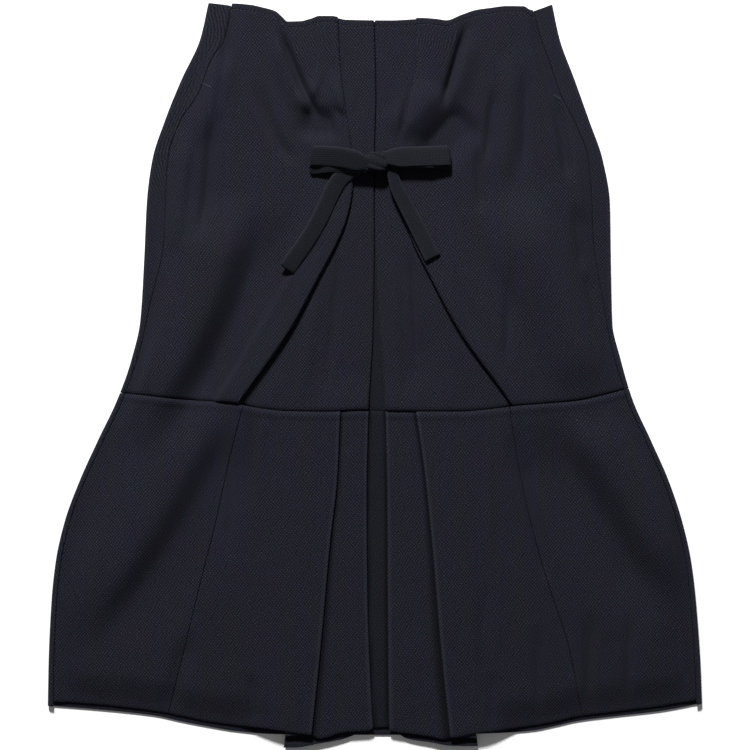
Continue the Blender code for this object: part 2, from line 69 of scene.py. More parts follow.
def smooth(knots, values, at):
    """Monotone cubic through the knots, so that an edge curves without overshooting."""
    at = np.clip(at, knots[0], knots[-1])
    step = np.diff(knots)
    slope = np.diff(values) / step
    tangent = np.concatenate([slope[:1], np.zeros(len(slope) - 1), slope[-1:]])
    before, after = slope[:-1], slope[1:]
    turning = before * after <= 0
    safe_before = np.where(turning, 1, before)
    safe_after = np.where(turning, 1, after)
    tangent[1:-1] = np.where(turning, 0, 2 / (1 / safe_before + 1 / safe_after))
    i = np.clip(np.searchsorted(knots, at, side="right") - 1, 0, len(step) - 1)
    t = (at - knots[i]) / step[i]
    hermite = (1 + 2 * t) * (1 - t) ** 2 * values[i] + t * t * (3 - 2 * t) * values[i + 1]
    return hermite + step[i] * t * (1 - t) * ((1 - t) * tangent[i] - t * tangent[i + 1])


def edge(table, column):
    """A line that runs down the skirt, as x for a distance down."""
    return lambda down: smooth(table.down, getattr(table, column), down)


def across_edge(table, offset=0.0):
    """A line that runs across the skirt, as the distance down for an x."""
    return lambda x: smooth(table.x, table.down, x) + offset


def ease(t):
    t = np.clip(t, 0, 1)
    return t * t * (3 - 2 * t)


def level(height):
    return lambda x, down: height + 0 * x


def laid(x, down, z):
    """Metres in the part's frame for a place on the laid skirt."""
    parts = ((x - MIDDLE_X) * MM, (MIDDLE_DOWN - down) * MM, z * MM)
    return np.stack(np.broadcast_arrays(*parts), axis=-1)


def shares(width, step, start_edge=False, end_edge=False):
    """Shares from 0 to 1 a step apart, closer together at an end that is a cloth edge."""
    count = max(2, math.ceil(width / step))
    places = set(np.linspace(0, 1, count + 1).round(6))
    fine = {d / width for d in ROUNDING}
    places |= fine if start_edge else set()
    places |= {1 - f for f in fine} if end_edge else set()
    kept = []
    for place in sorted(places):
        if not kept or place - kept[-1] > 0.03 / width:
            kept.append(place)
    return kept


def flat_lanes(start, end, at_shares, height):
    """Lines down the cloth at shares of the way across from start to end."""
    def lane(share):
        def x_at(down):
            return start(down) + (end(down) - start(down)) * share
        return x_at, lambda down: height(x_at(down), down), 0.0
    return [lane(share) for share in at_shares]


def hex_colour(text):
    """Linear colour for an sRGB hex value."""
    parts = np.array([int(text[i:i + 2], 16) for i in (0, 2, 4)]) / 255
    linear = np.where(parts <= 0.04045, parts / 12.92, ((parts + 0.055) / 1.055) ** 2.4)
    return (*linear, 1.0)


def add_node(tree, kind, inputs=(), **settings):
    """A node with its settings, and inputs that are values or other nodes' sockets."""
    node = tree.nodes.new(kind)
    for name, value in settings.items():
        setattr(node, name, value)
    for key, value in dict(inputs).items():
        if isinstance(value, bpy.types.NodeSocket):
            tree.links.new(value, node.inputs[key])
        else:
            node.inputs[key].default_value = value
    return node


# Near-black colour of the painted shade beside folds
CREASE_SHADE_COLOUR = hex_colour("050507")


# Heavy wool coating twill, piece-dyed and lightly fulled. The eye gets a matt, almost black
# navy whose yarns show as fine broken diagonals, a soft nap that lifts the lit edges, and
# small shifts between blue and purple. A painted highlight lightens fold edges, and painted
# shade darkens the cloth beside a fold. The yarns repeat every 2.3 mm: the real cloth's, about 1 mm
# apart, wouldn't show.
def wool_twill(name, ground, yarn, painted_highlight, repeat=2.3, grain=0.0):
    material = bpy.data.materials.new(name)
    material.use_nodes = True
    tree = material.node_tree
    shader = tree.nodes["Principled BSDF"]
    cloth_uv = add_node(tree, "ShaderNodeUVMap", uv_map="cloth").outputs["UV"]
    turned = add_node(tree, "ShaderNodeMapping", {"Vector": cloth_uv, "Rotation": (0, 0, grain)})
    wobble = add_node(tree, "ShaderNodeTexNoise", {
        "Vector": turned.outputs["Vector"], "Scale": 160.0, "Detail": 2.0})
    spread = add_node(tree, "ShaderNodeMixRGB", {
        "Fac": 0.0016, "Color1": turned.outputs["Vector"], "Color2": wobble.outputs["Color"]},
        blend_type="LINEAR_LIGHT")
    scale = 0.444 / (repeat * MM)
    twill = add_node(tree, "ShaderNodeTexWave", {
        "Vector": spread.outputs["Color"], "Scale": scale}, bands_direction="DIAGONAL")
    across = add_node(tree, "ShaderNodeMapping", {
        "Vector": spread.outputs["Color"], "Rotation": (0, 0, math.radians(82))})
    crossing = add_node(tree, "ShaderNodeTexWave", {
        "Vector": across.outputs["Vector"], "Scale": scale * 0.93}, bands_direction="DIAGONAL")
    weave = add_node(tree, "ShaderNodeMath", {
        0: twill.outputs["Fac"], 1: crossing.outputs["Fac"]}, operation="MULTIPLY")
    fibre = add_node(tree, "ShaderNodeTexNoise", {
        "Vector": cloth_uv, "Scale": 750.0, "Detail": 3.0, "Roughness": 0.7})
    streak_way = add_node(tree, "ShaderNodeMapping", {
        "Vector": cloth_uv, "Scale": (70.0, 5.0, 1.0)})
    streak = add_node(tree, "ShaderNodeTexNoise", {
        "Vector": streak_way.outputs["Vector"], "Scale": 1.0, "Detail": 3.0})
    cloud = add_node(tree, "ShaderNodeTexNoise", {
        "Vector": cloth_uv, "Scale": 22.0, "Detail": 3.0, "Roughness": 0.6})

    yarns = add_node(tree, "ShaderNodeMixRGB", {
        "Fac": weave.outputs["Value"], "Color1": ground, "Color2": yarn})
    speckled = add_node(tree, "ShaderNodeMixRGB", {
        "Fac": 0.5, "Color1": yarns.outputs["Color"], "Color2": fibre.outputs["Fac"]},
        blend_type="OVERLAY")
    streaked = add_node(tree, "ShaderNodeMixRGB", {
        "Fac": 0.22, "Color1": speckled.outputs["Color"], "Color2": streak.outputs["Fac"]},
        blend_type="OVERLAY")
    shifting = add_node(tree, "ShaderNodeHueSaturation", {"Color": streaked.outputs["Color"]})
    hue = add_node(tree, "ShaderNodeMapRange", {
        "Value": cloud.outputs["Fac"], "From Min": 0.3, "From Max": 0.7,
        "To Min": 0.475, "To Max": 0.53})
    tree.links.new(hue.outputs["Result"], shifting.inputs["Hue"])
    depth = add_node(tree, "ShaderNodeMapRange", {
        "Value": streak.outputs["Fac"], "From Min": 0.3, "From Max": 0.7,
        "To Min": 0.8, "To Max": 1.2})
    tree.links.new(depth.outputs["Result"], shifting.inputs["Saturation"])
    # Painted highlight: fold edges are mixed towards a lighter navy
    highlight_amount = add_node(tree, "ShaderNodeAttribute", attribute_name="painted_highlight")
    highlighted = add_node(tree, "ShaderNodeMixRGB", {
        "Fac": highlight_amount.outputs["Fac"], "Color1": shifting.outputs["Color"], "Color2": painted_highlight})
    # Painted shade: cloth beside a fold is mixed towards near-black
    crease_shade = add_node(tree, "ShaderNodeAttribute", attribute_name="painted_crease_shade")
    deep = add_node(tree, "ShaderNodeMixRGB", {
        "Fac": crease_shade.outputs["Fac"], "Color1": highlighted.outputs["Color"], "Color2": CREASE_SHADE_COLOUR})
    tree.links.new(deep.outputs["Color"], shader.inputs["Base Color"])

    relief_sum = add_node(tree, "ShaderNodeMath", {
        0: weave.outputs["Value"], 1: fibre.outputs["Fac"]}, operation="ADD")
    bump = add_node(tree, "ShaderNodeBump", {
        "Strength": 0.5, "Distance": 0.0004, "Height": relief_sum.outputs["Value"]})
    puckers = add_node(tree, "ShaderNodeBump", {
        "Strength": 0.35, "Distance": 0.0016, "Height": cloud.outputs["Fac"],
        "Normal": bump.outputs["Normal"]})
    tree.links.new(puckers.outputs["Normal"], shader.inputs["Normal"])
    shader.inputs["Roughness"].default_value = 0.92
    shader.inputs["Specular IOR Level"].default_value = 0.06
    shader.inputs["Sheen Weight"].default_value = 0.02
    shader.inputs["Sheen Roughness"].default_value = 0.45
    shader.inputs["Sheen Tint"].default_value = (0.55, 0.56, 0.75, 1.0)
    return material


# A darker, greyer copy of the wool for both underlays: painted shade for cloth lying deep under the
# pleats
WOOL_SHADED = wool_twill(
    "wool_twill_painted_shade", hex_colour("101116"), hex_colour("22232b"), hex_colour("24252d"))


def cloth_wall(name, x, down, z, u, looks, outside, material):
    """A closed, round-edged wall of cloth about a grid of points, across by down."""
    middle = laid(x, down, z)
    outward = np.cross(np.gradient(middle, axis=1), np.gradient(middle, axis=0)) * outside
    outward /= np.linalg.norm(outward, axis=-1, keepdims=True)
    from_edge = []
    for axis in (0, 1):
        steps = np.linalg.norm(np.diff(middle, axis=axis), axis=-1) / MM
        run = np.insert(np.cumsum(steps, axis=axis), 0, 0, axis=axis)
        whole = run[-1:] if axis == 0 else run[:, -1:]
        from_edge.append(np.minimum(run, whole - run))
    inward = np.clip(np.array(from_edge) / ROUNDING[-1], 0, 1)
    round_off = np.sqrt(1 - (1 - inward) ** 2).prod(axis=0)[..., None]
    half = outward * round_off * CLOTH / 2 * MM
    across, along = x.shape
    top = np.arange(across * along).reshape(across, along)
    under = top.copy()
    under[1:-1, 1:-1] = across * along + np.arange((across - 2) * (along - 2)).reshape(
        across - 2, along - 2)
    points = np.concatenate([
        (middle + half).reshape(-1, 3), (middle - half)[1:-1, 1:-1].reshape(-1, 3)])

    def quads(index, flip):
        corners = [index[:-1, :-1], index[:-1, 1:], index[1:, 1:], index[1:, :-1]]
        return np.stack(corners[::-1] if flip else corners, axis=-1).reshape(-1, 4)

    faces = np.concatenate([quads(top, outside < 0), quads(under, outside > 0)])
    mesh = bpy.data.meshes.new(name)
    mesh.from_pydata(points.tolist(), [], faces.tolist())
    mesh.shade_smooth()
    flat_uv = np.stack([u * MM, -down * MM], axis=-1)
    both = np.concatenate([flat_uv.reshape(-1, 2), flat_uv[1:-1, 1:-1].reshape(-1, 2)])
    layer = mesh.uv_layers.new(name="cloth")
    layer.uv.foreach_set("vector", both[faces.ravel()].ravel())
    for look, values in looks.items():
        both = np.concatenate([values.ravel(), values[1:-1, 1:-1].ravel()])
        mesh.attributes.new(look, "FLOAT", "POINT").data.foreach_set("value", both)
    mesh.materials.append(material)
    piece = bpy.data.objects.new(name, mesh)
    bpy.context.scene.collection.objects.link(piece)
    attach(piece, "root")
    return piece


def panel(name, lanes, top, bottoms, step, outside, material, highlight_amount=0.0, finish=None, crease_shade=None,
          fine_rows=()):
    """A panel whose lines run from its upper seam to its lower one, or each to its own."""
    if callable(bottoms):
        bottoms = [bottoms] * len(lanes)
    long = float(bottoms[-1](0.0) - top(0.0))
    at = np.array(sorted(shares(long, step, True, True) + [row / long for row in fine_rows]))
    grid = []
    for (x_at, z_at, turn), bottom in zip(lanes, bottoms):
        down = top(0.0) + (bottom(0.0) - top(0.0)) * at
        for _ in range(5):
            x = x_at(down)
            down = top(x) + (bottom(x) - top(x)) * at
        x = x_at(down)
        grid.append((x, down, z_at(down), turn + 0 * x))
    x, down, z, turn = (np.array(part) for part in zip(*grid))
    width = np.hypot(np.diff(x, axis=0), np.diff(z, axis=0))
    u = x[-1:] - outside * np.insert(np.cumsum(width[::-1], axis=0)[::-1], len(width), 0, axis=0)
    if finish is not None:
        z = finish(x, down, z, at * long, (1 - at) * long)
    # Painted highlight along the round edges of folds, from each lane's third value
    looks = {"painted_highlight": np.clip(turn, 0, 1) * highlight_amount}
    # Painted shade beside folds, where a mask for it is given
    if crease_shade is not None:
        looks["painted_crease_shade"] = crease_shade(x, down, z)
    return cloth_wall(name, x, down, z, u, looks, outside, material)


CENTRE_PLEAT = columns("down left right", [
    (10, -0.7, 0.1),
    (104, 1.4, 2.2),
    (146, 0.2, 1),
    (208, -0.4, 0.4),
    (262, -0.3, 1.3),
    (345, -1.5, 5.5),
    (431, -6, 11.5),
    (524, -8, 13.5),
    (629, -7, 14),
    (733, -3, 15),
    (775, -0.4, 16),
])
FRONT_WAIST = columns("x down", [
    (-180, 3), (-149, 3.2), (-130, 5), (-116, 8), (-104, 11.5), (-96, 18), (-91, 22.5),
    (-78, 22.5), (-66, 20), (-58, 17.4), (-45, 17.3), (-29, 20), (17, 20.7), (48, 19.4),
    (64, 20.5), (75, 21.8), (90, 16), (106, 10.5), (122, 8.2), (138, 6.3), (156, 6.2),
    (164, 10), (190, 10),
])
CURVED_SEAM = columns("x down", [
    (-275, 410), (-235, 413.7), (-199, 417.8), (-154, 420.5), (-117, 427), (-91, 429.6),
    (-46, 430.2), (-15, 428.5), (10, 429.5), (45, 430), (90, 430), (115, 428.2),
    (149, 424), (174, 422), (210, 419), (235, 414), (275, 404),
])
UNDERLAY_HALF_WIDTH = 31.0


def underlay_end(side):
    return lambda down: edge(CENTRE_PLEAT, "left")(down) + side * UNDERLAY_HALF_WIDTH


front_underlay = panel(
    "cloth_front_underlay",
    flat_lanes(underlay_end(-1), underlay_end(1), shares(62, 5, True, True), level(UNDERLAY)),
    across_edge(FRONT_WAIST, 3 * SEAM_GAP), across_edge(CURVED_SEAM, -SEAM_GAP / 2),
    5, 1, WOOL_SHADED)
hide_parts("front_underlay")


# Centre front panels
# Two panels that meet in the inverted pleat at centre front. Each is folded under at the
# pleat, and its outer edge runs on under the side panel. They lie over the pleat's returns.

PLEAT_RETURN = UNDERLAY + PITCH
OVER_PLEAT = PLEAT_RETURN + PITCH
SIDE_FOLD_RADIUS = 1.9
FRONT = BACK + 2 * SIDE_FOLD_RADIUS
LOWEST_FRONT = BACK + PITCH
LOWEST_EASE = 0.4
CROWN = 4.4
CROWN_EASE = 45.0
PLEAT_RETURN_WIDTH = 28.0
STACK_MARGIN = 3.0
STACK_FALL = 45.0
PACKED_MARGIN = 2.0
PACKED_FALL = 8.0
HIGHLIGHT_ROUND_TO = 2.6
HIGHLIGHT_UNDERNEATH = 0.7
SIDE_SEAM_INSET = 6.0
SEAM_RISE = 2.2
SEAM_RISE_FROM = 385.0
SEAM_RISE_TO = 428.0
SEAM_RISE_REACH = 50.0
EDGE_CALM = 18.0
FOLD_FADE = 0.3
FINE_STEP = 2.8
STITCH_FROM_EDGE = 7.0
STITCH_GROOVE = 0.7
STITCH_GROOVE_REACH = 1.3
SEAM_REACH = 3.0
HANDLING = 0.22
WAIST_ROWS = (5.6, 6.3, 7.05, 7.8, 8.6)
SIDES = (("left", -1), ("right", 1))

OUTLINE = columns("down left right", [
    (2, -174, 186),
    (41, -183, 194.5),
    (83, -202.5, 210),
    (125, -219.5, 225),
    (167, -233, 239.5),
    (209, -238.5, 246.5),
    (272, -241.5, 247.5),
    (335, -245.5, 249),
    (377, -255, 258.5),
    (419, -270, 271),
    (461, -290, 290),
    (503, -309, 308.5),
    (545, -324.5, 322.5),
    (587, -334, 332),
    (629, -338.5, 337),
    (692, -341.5, 341.5),
    (750, -342.5, 343.7),
])
FRONT_FOLD = columns("down left right", [
    (10, -38.5, 43),
    (62, -36, 44),
    (104, -31.5, 36),
    (146, -25, 28.5),
    (172, -23, 19.5),
    (194, -22.5, 15.5),
    (208, -24, 21),
    (231, -29.5, 31.5),
    (256, -40, 41),
    (288, -57, 57),
    (345, -87.5, 87.5),
    (412, -135, 135.5),
    (436, -152, 152),
])
UNDER_SIDE = columns("down width stand_off", [
    (10, 10, 0),
    (150, 9, 0),
    (208, 10, 0.3),
    (262, 22, 0.8),
    (345, 28, 2.4),
    (395, 22, 1.6),
    (436, 18, 0.0),
])

# Troughs and ridges of the front: a line through three places, its half width, its height,
# and how far its crest leans to one side
FOLDS = columns("x1 down1 x2 down2 x3 down3 half_width height lean", [
    (-107, 26, -88, 82, -66, 124, 14, 3.5, 0.3),
    (-102, 24, -79, 82, -56, 126, 7, -8.0, 0),
    (-84, 124, -54, 134, -22, 126, 54, -5.5, -0.63),
    (-84, 96, -52, 108, -18, 106, 28, 6.0, -0.35),
    (-125, 80, -105, 140, -80, 172, 11, -3.0, 0),
    (104, 28, 92, 74, 80, 112, 14, 3.5, -0.3),
    (98, 20, 83, 70, 70, 116, 7, -8.0, 0),
    (98, 112, 72, 140, 42, 168, 31, -9.0, -0.3),
    (70, 88, 46, 118, 18, 144, 26, 6.0, 0.25),
    (-171, 112, -174, 190, -184, 256, 9, -5.0, 0),
    (-194, 130, -202, 200, -208, 270, 16, 4.5, 0.3),
    (-153, 14, -158, 70, -166, 124, 8, -3.0, 0),
    (-148, 196, -181, 328, -268, 478, 60, 12.0, 0.38),
    (-110, 214, -147, 346, -236, 496, 54, -6.5, -0.33),
    (-150, 52, -168, 104, -192, 156, 22, 3.5, 0.2),
    (126, 86, 121, 132, 116, 175, 8, -4.2, 0),
    (106, 150, 110, 190, 112, 226, 9, -3.4, 0),
    (140, 50, 140, 125, 132, 205, 13, 3.0, 0),
    (157, 60, 158, 124, 153, 188, 9, -3.4, 0),
    (163, 16, 176, 70, 190, 118, 8, -3.2, 0),
    (186, 96, 197, 146, 203, 190, 9, -5.0, 0),
    (209, 210, 213, 248, 219, 292, 9, -3.0, 0),
    (219, 280, 227, 315, 237, 350, 8, -2.5, 0),
    (200, 130, 212, 190, 218, 240, 12, 2.6, 0),
    (140, 186, 190, 312, 240, 446, 52, 12.0, 0.25),
    (142, 272, 139, 340, 136, 404, 7, -2.4, 0),
    (-156, 390, -228, 535, -331, 680, 50, 8.0, 0.36),
    (-124, 410, -196, 555, -299, 700, 48, -4.5, -0.34),
    (193, 410, 265, 522, 337, 640, 50, 9.5, -0.25),
    (163, 430, 235, 542, 307, 660, 48, -5.0, 0.25),
    (143, 428, 169, 550, 181, 612, 12, -2.8, 0),
    (-190, 655, -205, 705, -215, 750, 15, -3.2, 0),
    (-128, 700, -127, 732, -126, 762, 9, -2.6, 0),
    (-146, 450, -150, 520, -152, 594, 9, -1.5, 0),
    (-117, 434, -118, 470, -120, 522, 8, 1.3, 0),
    (170, 650, 171, 700, 172, 750, 9, -2.2, 0),
    (112, 606, 114, 680, 118, 744, 12, -2.4, 0),
    (226, 636, 225, 690, 224, 744, 10, -3.0, 0),
    (268, 636, 266, 690, 264, 740, 9, -2.2, 0),
    (123, 698, 123, 732, 122, 764, 8, -2.2, 0),
    (119, 434, 120, 510, 121, 588, 8, 1.3, 0),
    (33, 236, 40, 314, 48, 420, 9, -2.4, 0),
    (18, 262, 22, 345, 27, 424, 10, 1.5, 0),
    (-27, 236, -41, 324, -52, 420, 10, -1.8, 0),
    (-58, 300, -68, 360, -76, 424, 12, 1.8, 0),
])


def bent(start, middle, end, share):
    """A curve from start to end that passes through the middle at half way."""
    control = 2 * middle - (start + end) / 2
    return (1 - share) ** 2 * start + 2 * share * (1 - share) * control + share ** 2 * end


def relief(x, down):
    """Height that the front's troughs and ridges add."""
    x, down = np.broadcast_arrays(np.asarray(x, float), np.asarray(down, float))
    total = np.zeros(x.shape)
    share = np.linspace(0, 1, 17)
    for x1, d1, x2, d2, x3, d3, half_width, height, lean in zip(*vars(FOLDS).values()):
        line = np.stack([bent(x1, x2, x3, share), bent(d1, d2, d3, share)], axis=-1)
        low, high = line.min(axis=0) - 2 * half_width, line.max(axis=0) + 2 * half_width
        close = (x > low[0]) & (x < high[0]) & (down > low[1]) & (down < high[1])
        if not close.any():
            continue
        spot = np.stack([x[close], down[close]], axis=-1)[:, None]
        ahead = np.diff(line, axis=0)
        along = np.clip(((spot - line[:-1]) * ahead).sum(-1) / (ahead ** 2).sum(-1), 0, 1)
        away = spot - line[:-1] - ahead * along[..., None]
        far = np.hypot(away[..., 0], away[..., 1])
        nearest = far.argmin(axis=1)
        row = np.arange(len(nearest))
        turned = ahead[nearest, 0] * away[row, nearest, 1] - ahead[nearest, 1] * away[row, nearest, 0]
        reach = half_width * (1 + lean * np.sign(turned))
        passed = (nearest + along[row, nearest]) / (len(share) - 1)
        fade = ease(passed / FOLD_FADE) * ease((1 - passed) / FOLD_FADE)
        bell = 0.5 + 0.5 * np.cos(np.pi * np.clip(far[row, nearest] / reach, 0, 1))
        total[close] += height * bell * fade
    return total


def near(distance, reach, fall):
    """1 up to reach, easing to 0 over the fall beyond it."""
    return 1 - ease((distance - reach) / fall)


def from_outline(x, down):
    return np.minimum(x - edge(OUTLINE, "left")(down), edge(OUTLINE, "right")(down) - x)


def handling(x, down):
    """Slight unevenness of cloth that has been handled, a few tenths of a millimetre."""
    flat = np.broadcast_arrays(np.asarray(x, float), np.asarray(down, float))
    spots = zip(flat[0].ravel(), flat[1].ravel())
    values = [
        noise.noise(Vector((a / 26, b / 48, 3.7))) + 0.5 * noise.noise(Vector((a / 11, b / 17, 8.1)))
        for a, b in spots
    ]
    return np.array(values).reshape(flat[0].shape)


def waves(x, down, packed):
    """Relief that dies out at the side folds, with no trough over packed layers."""
    raw = relief(x, down) * ease((from_outline(x, down) - SIDE_SEAM_INSET) / EDGE_CALM)
    return np.maximum(raw, 0) + np.minimum(raw, 0) * (1 - packed)


def clear_of_back(height):
    """The same height, eased so that no trough reaches the back."""
    return LOWEST_FRONT + LOWEST_EASE * np.logaddexp(0, (height - LOWEST_FRONT) / LOWEST_EASE)


def front_level(x, down):
    """The front's soft crown over the back."""
    return FRONT + CROWN * ease((from_outline(x, down) - SIDE_SEAM_INSET) / CROWN_EASE)


def from_pleat(x, down):
    """Distance from the line where the centre pleat's folds meet."""
    meet = (edge(CENTRE_PLEAT, "left")(down) + edge(CENTRE_PLEAT, "right")(down)) / 2
    return np.abs(x - meet)


def centre_level(x, down):
    """Middle of the centre panel's wall, without its folds."""
    base = front_level(x, down)
    away = from_pleat(x, down)
    over_pleat = (OVER_PLEAT - base) * near(away, UNDERLAY_HALF_WIDTH + STACK_MARGIN, STACK_FALL)
    to_seam = ease((down - SEAM_RISE_FROM) / (SEAM_RISE_TO - SEAM_RISE_FROM))
    over_gores = SEAM_RISE * to_seam * near(away, SEAM_RISE_REACH, STACK_FALL)
    return base + over_pleat + over_gores


def centre_height(x, down):
    inside = np.minimum(
        x - edge(FRONT_FOLD, "left")(down), edge(FRONT_FOLD, "right")(down) - x)
    packed = near(from_pleat(x, down), UNDERLAY_HALF_WIDTH + PACKED_MARGIN, PACKED_FALL)
    clear_of_fold = ease((inside - PACKED_MARGIN) / PACKED_FALL)
    return clear_of_back(centre_level(x, down) + waves(x, down, packed) * clear_of_fold)


def traced(line, step=2.0):
    """A line kept as places a step apart, so that it is quick to read again."""
    at = np.arange(0, 800, step)
    kept = line(at)
    return lambda down: np.interp(down, at, kept)


def fold_root(fold, low, high, side):
    """Where a fold's round edge begins on the flat, for a fold that faces to that side."""
    def root(down):
        tip = fold(down)
        return tip - side * ((high(tip, down) - low(tip, down)) / 2 + CLOTH / 2)
    return traced(root)


def turn_lanes(fold, low, high, side, steps=9, downwards=False):
    """Lines down the cloth round a fold's edge, from its lower layer to its upper one."""
    def at_tip(height):
        return traced(lambda down: height(fold(down), down))

    bottom, top = at_tip(low), at_tip(high)

    def lane(angle):
        def x_at(down):
            radius = (top(down) - bottom(down)) / 2
            return fold(down) - side * (radius + CLOTH / 2 - radius * math.sin(angle))

        def z_at(down):
            return (top(down) + bottom(down) - (top(down) - bottom(down)) * math.cos(angle)) / 2
        # Painted highlight over the fold's round edge, from none on its lower layer
        painted_highlight = math.sin(angle / 2) ** 4 if angle < HIGHLIGHT_ROUND_TO else HIGHLIGHT_UNDERNEATH
        return x_at, z_at, painted_highlight
    lanes = [lane(math.pi * i / steps) for i in range(steps + 1)]
    return lanes[::-1] if downwards else lanes


def soft_edges(top_drop, bottom_drop):
    """Lowers a panel beside its seams, and along the topstitching 7 mm below the waist."""
    def finish(x, down, z, from_top, from_bottom):
        fall_top = top_drop * (1 - ease(from_top / SEAM_REACH))
        fall_bottom = bottom_drop * (1 - ease(from_bottom / SEAM_REACH))
        from_stitches = np.abs(from_top - STITCH_FROM_EDGE)
        stitched = STITCH_GROOVE * (1 - ease(from_stitches / STITCH_GROOVE_REACH))
        return z - fall_top - fall_bottom - stitched + HANDLING * handling(x, down)
    return finish


def inner(at_shares):
    """The shares strictly between the two ends."""
    return [share for share in at_shares if 0 < share < 1]


WOOL = wool_twill("wool_twill_navy", hex_colour("111117"), hex_colour("2b2c38"), hex_colour("343541"))

for name, side in SIDES:
    fold = edge(CENTRE_PLEAT, name)
    root = fold_root(fold, level(PLEAT_RETURN), centre_height, -side)

    def hidden_edge(down, name=name, side=side):
        return edge(FRONT_FOLD, name)(down) + side * edge(UNDER_SIDE, "width")(down)

    def return_end(down, fold=fold, side=side):
        return fold(down) + side * PLEAT_RETURN_WIDTH

    lanes = flat_lanes(return_end, root, shares(28, 6, start_edge=True)[:-1], level(PLEAT_RETURN))
    lanes += turn_lanes(fold, level(PLEAT_RETURN), centre_height, -side)
    lanes += flat_lanes(root, hidden_edge, shares(110, 2.4, end_edge=True)[1:], centre_height)
    piece = panel(
        f"cloth_front_centre_{name}", lanes, across_edge(FRONT_WAIST, SEAM_GAP),
        across_edge(CURVED_SEAM, -SEAM_GAP / 2), FINE_STEP, side, WOOL, 0.0,
        soft_edges(0.3, 1.0), fine_rows=WAIST_ROWS)
    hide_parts(f"front_centre_{name}")


# Front side panels
# Each side panel is folded under along a slanting edge that runs to the bow and spreads to
# the curved seam below it. Its outer edge is the side seam, with the pocket mouth in it.

STAND_OFF_REACH = 4.0
STAND_OFF_FALL = 24.0
SIDE_SEAM = columns("down left right", [
    (2, -149, 163.8),
    (39, -156.5, 174),
    (64, -171.5, 183),
    (98, -184, 194.5),
    (127, -203.5, 209.5),
    (166, -216, 224),
    (209, -218.5, 227.5),
    (248, -219.5, 229),
    (324, -236.3, 241),
    (366, -245.5, 249),
    (430, -268.5, 269.5),
])


def side_return_height(x, down):
    return centre_level(x, down) + PITCH


def side_height(x, down):
    """Middle of the front side panels' wall, and of the back where it shows at the sides."""
    left, right = edge(FRONT_FOLD, "left")(down), edge(FRONT_FOLD, "right")(down)
    outward = np.where(x < (left + right) / 2, left - x, x - right)
    hidden = edge(UNDER_SIDE, "width")(down)
    lifted = edge(UNDER_SIDE, "stand_off")(down) * near(outward, STAND_OFF_REACH, STAND_OFF_FALL)
    over_centre = 2 * PITCH * near(outward, hidden + STACK_MARGIN, STACK_FALL)
    packed = near(outward, hidden + PACKED_MARGIN, PACKED_FALL)
    return clear_of_back(centre_level(x, down) + over_centre + lifted + waves(x, down, packed))


def shifted(line, by):
    return lambda at: line(at) + by


for name, side in SIDES:
    fold = edge(FRONT_FOLD, name)
    root = fold_root(fold, side_return_height, side_height, -side)
    seam = shifted(edge(SIDE_SEAM, name), -side * SEAM_GAP / 2)

    def return_end(down, fold=fold, side=side):
        return fold(down) + side * edge(UNDER_SIDE, "width")(down)

    lanes = flat_lanes(return_end, root, shares(20, 5, start_edge=True)[:-1], side_return_height)
    lanes += turn_lanes(fold, side_return_height, side_height, -side)
    lanes += flat_lanes(root, seam, shares(165, 2.4, end_edge=True)[1:], side_height)
    piece = panel(
        f"cloth_front_side_{name}", lanes, across_edge(FRONT_WAIST),
        across_edge(CURVED_SEAM, -SEAM_GAP / 2), FINE_STEP, side, WOOL, 0.0,
        soft_edges(0.3, 1.3), fine_rows=WAIST_ROWS)
    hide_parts(f"front_side_{name}")


# Back, upper part
# The back is wider than the front: it comes round each side fold and is sewn to the side
# panels a little way in on the front. Underneath it lies flat on the surface.

BACK_WAIST = columns("x down", [
    (-176, 2), (-162, 3.6), (-149, 5.8), (-120, 12), (-90, 26), (0, 26), (90, 24),
    (120, 13), (150, 10), (164, 11.4), (174, 8.4), (188, 3),
])
BACK_STEP = 6.0


def back_wrap_lanes(seams, front_height, strip_width, back_width):
    """Lines of a back: in from the left seam on the front, round it, and out to the right one."""
    outline = {name: edge(OUTLINE, name) for name, _ in SIDES}
    roots = {
        name: fold_root(outline[name], level(BACK), level(FRONT), side) for name, side in SIDES}
    strip = shares(strip_width, 3, start_edge=True)[:-1]
    lanes = flat_lanes(seams["left"], roots["left"], strip, front_height)
    lanes += turn_lanes(outline["left"], level(BACK), level(FRONT), -1, downwards=True)
    lanes += flat_lanes(
        roots["left"], roots["right"], inner(shares(back_width, BACK_STEP)), level(BACK))
    lanes += turn_lanes(outline["right"], level(BACK), level(FRONT), 1)
    lanes += flat_lanes(seams["right"], roots["right"], strip, front_height)[::-1]
    return lanes


seams = {name: shifted(edge(SIDE_SEAM, name), side * SEAM_GAP / 2) for name, side in SIDES}
back_upper = panel(
    "cloth_back_upper", back_wrap_lanes(seams, side_height, 24, 480),
    across_edge(BACK_WAIST), across_edge(CURVED_SEAM, -SEAM_GAP / 2), 3.4, -1, WOOL, 0.15)
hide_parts("back_upper")


# Underlay of the flounce's pleats
# The deepest layer of the pleats at centre front. It shows between the pleats' edges and
# below them at the hem, where it is turned up like the rest.

OUTER_PLEAT = columns("down left right depth", [
    (425, -35.5, 42.5, 13),
    (498, -38.5, 53, 17),
    (566, -46, 60, 20),
    (682, -56.5, 70, 25),
    (782, -67, 80.5, 28),
])
UNDERLAY_HEM = columns("x down", [
    (-94, 782), (-81, 781.8), (-59, 778), (-44, 775.7), (-31, 773), (-16, 767), (2, 761.5),
    (14, 761), (24, 767), (34, 773), (61, 777), (79, 780), (100, 780.5),
])
HEM_CURL = 3.0
HEM_CURL_FROM = 771.0
HEM_CURL_RISE = 12.0


def pleat_depth(name, side):
    return lambda down: edge(OUTER_PLEAT, name)(down) + side * edge(OUTER_PLEAT, "depth")(down)


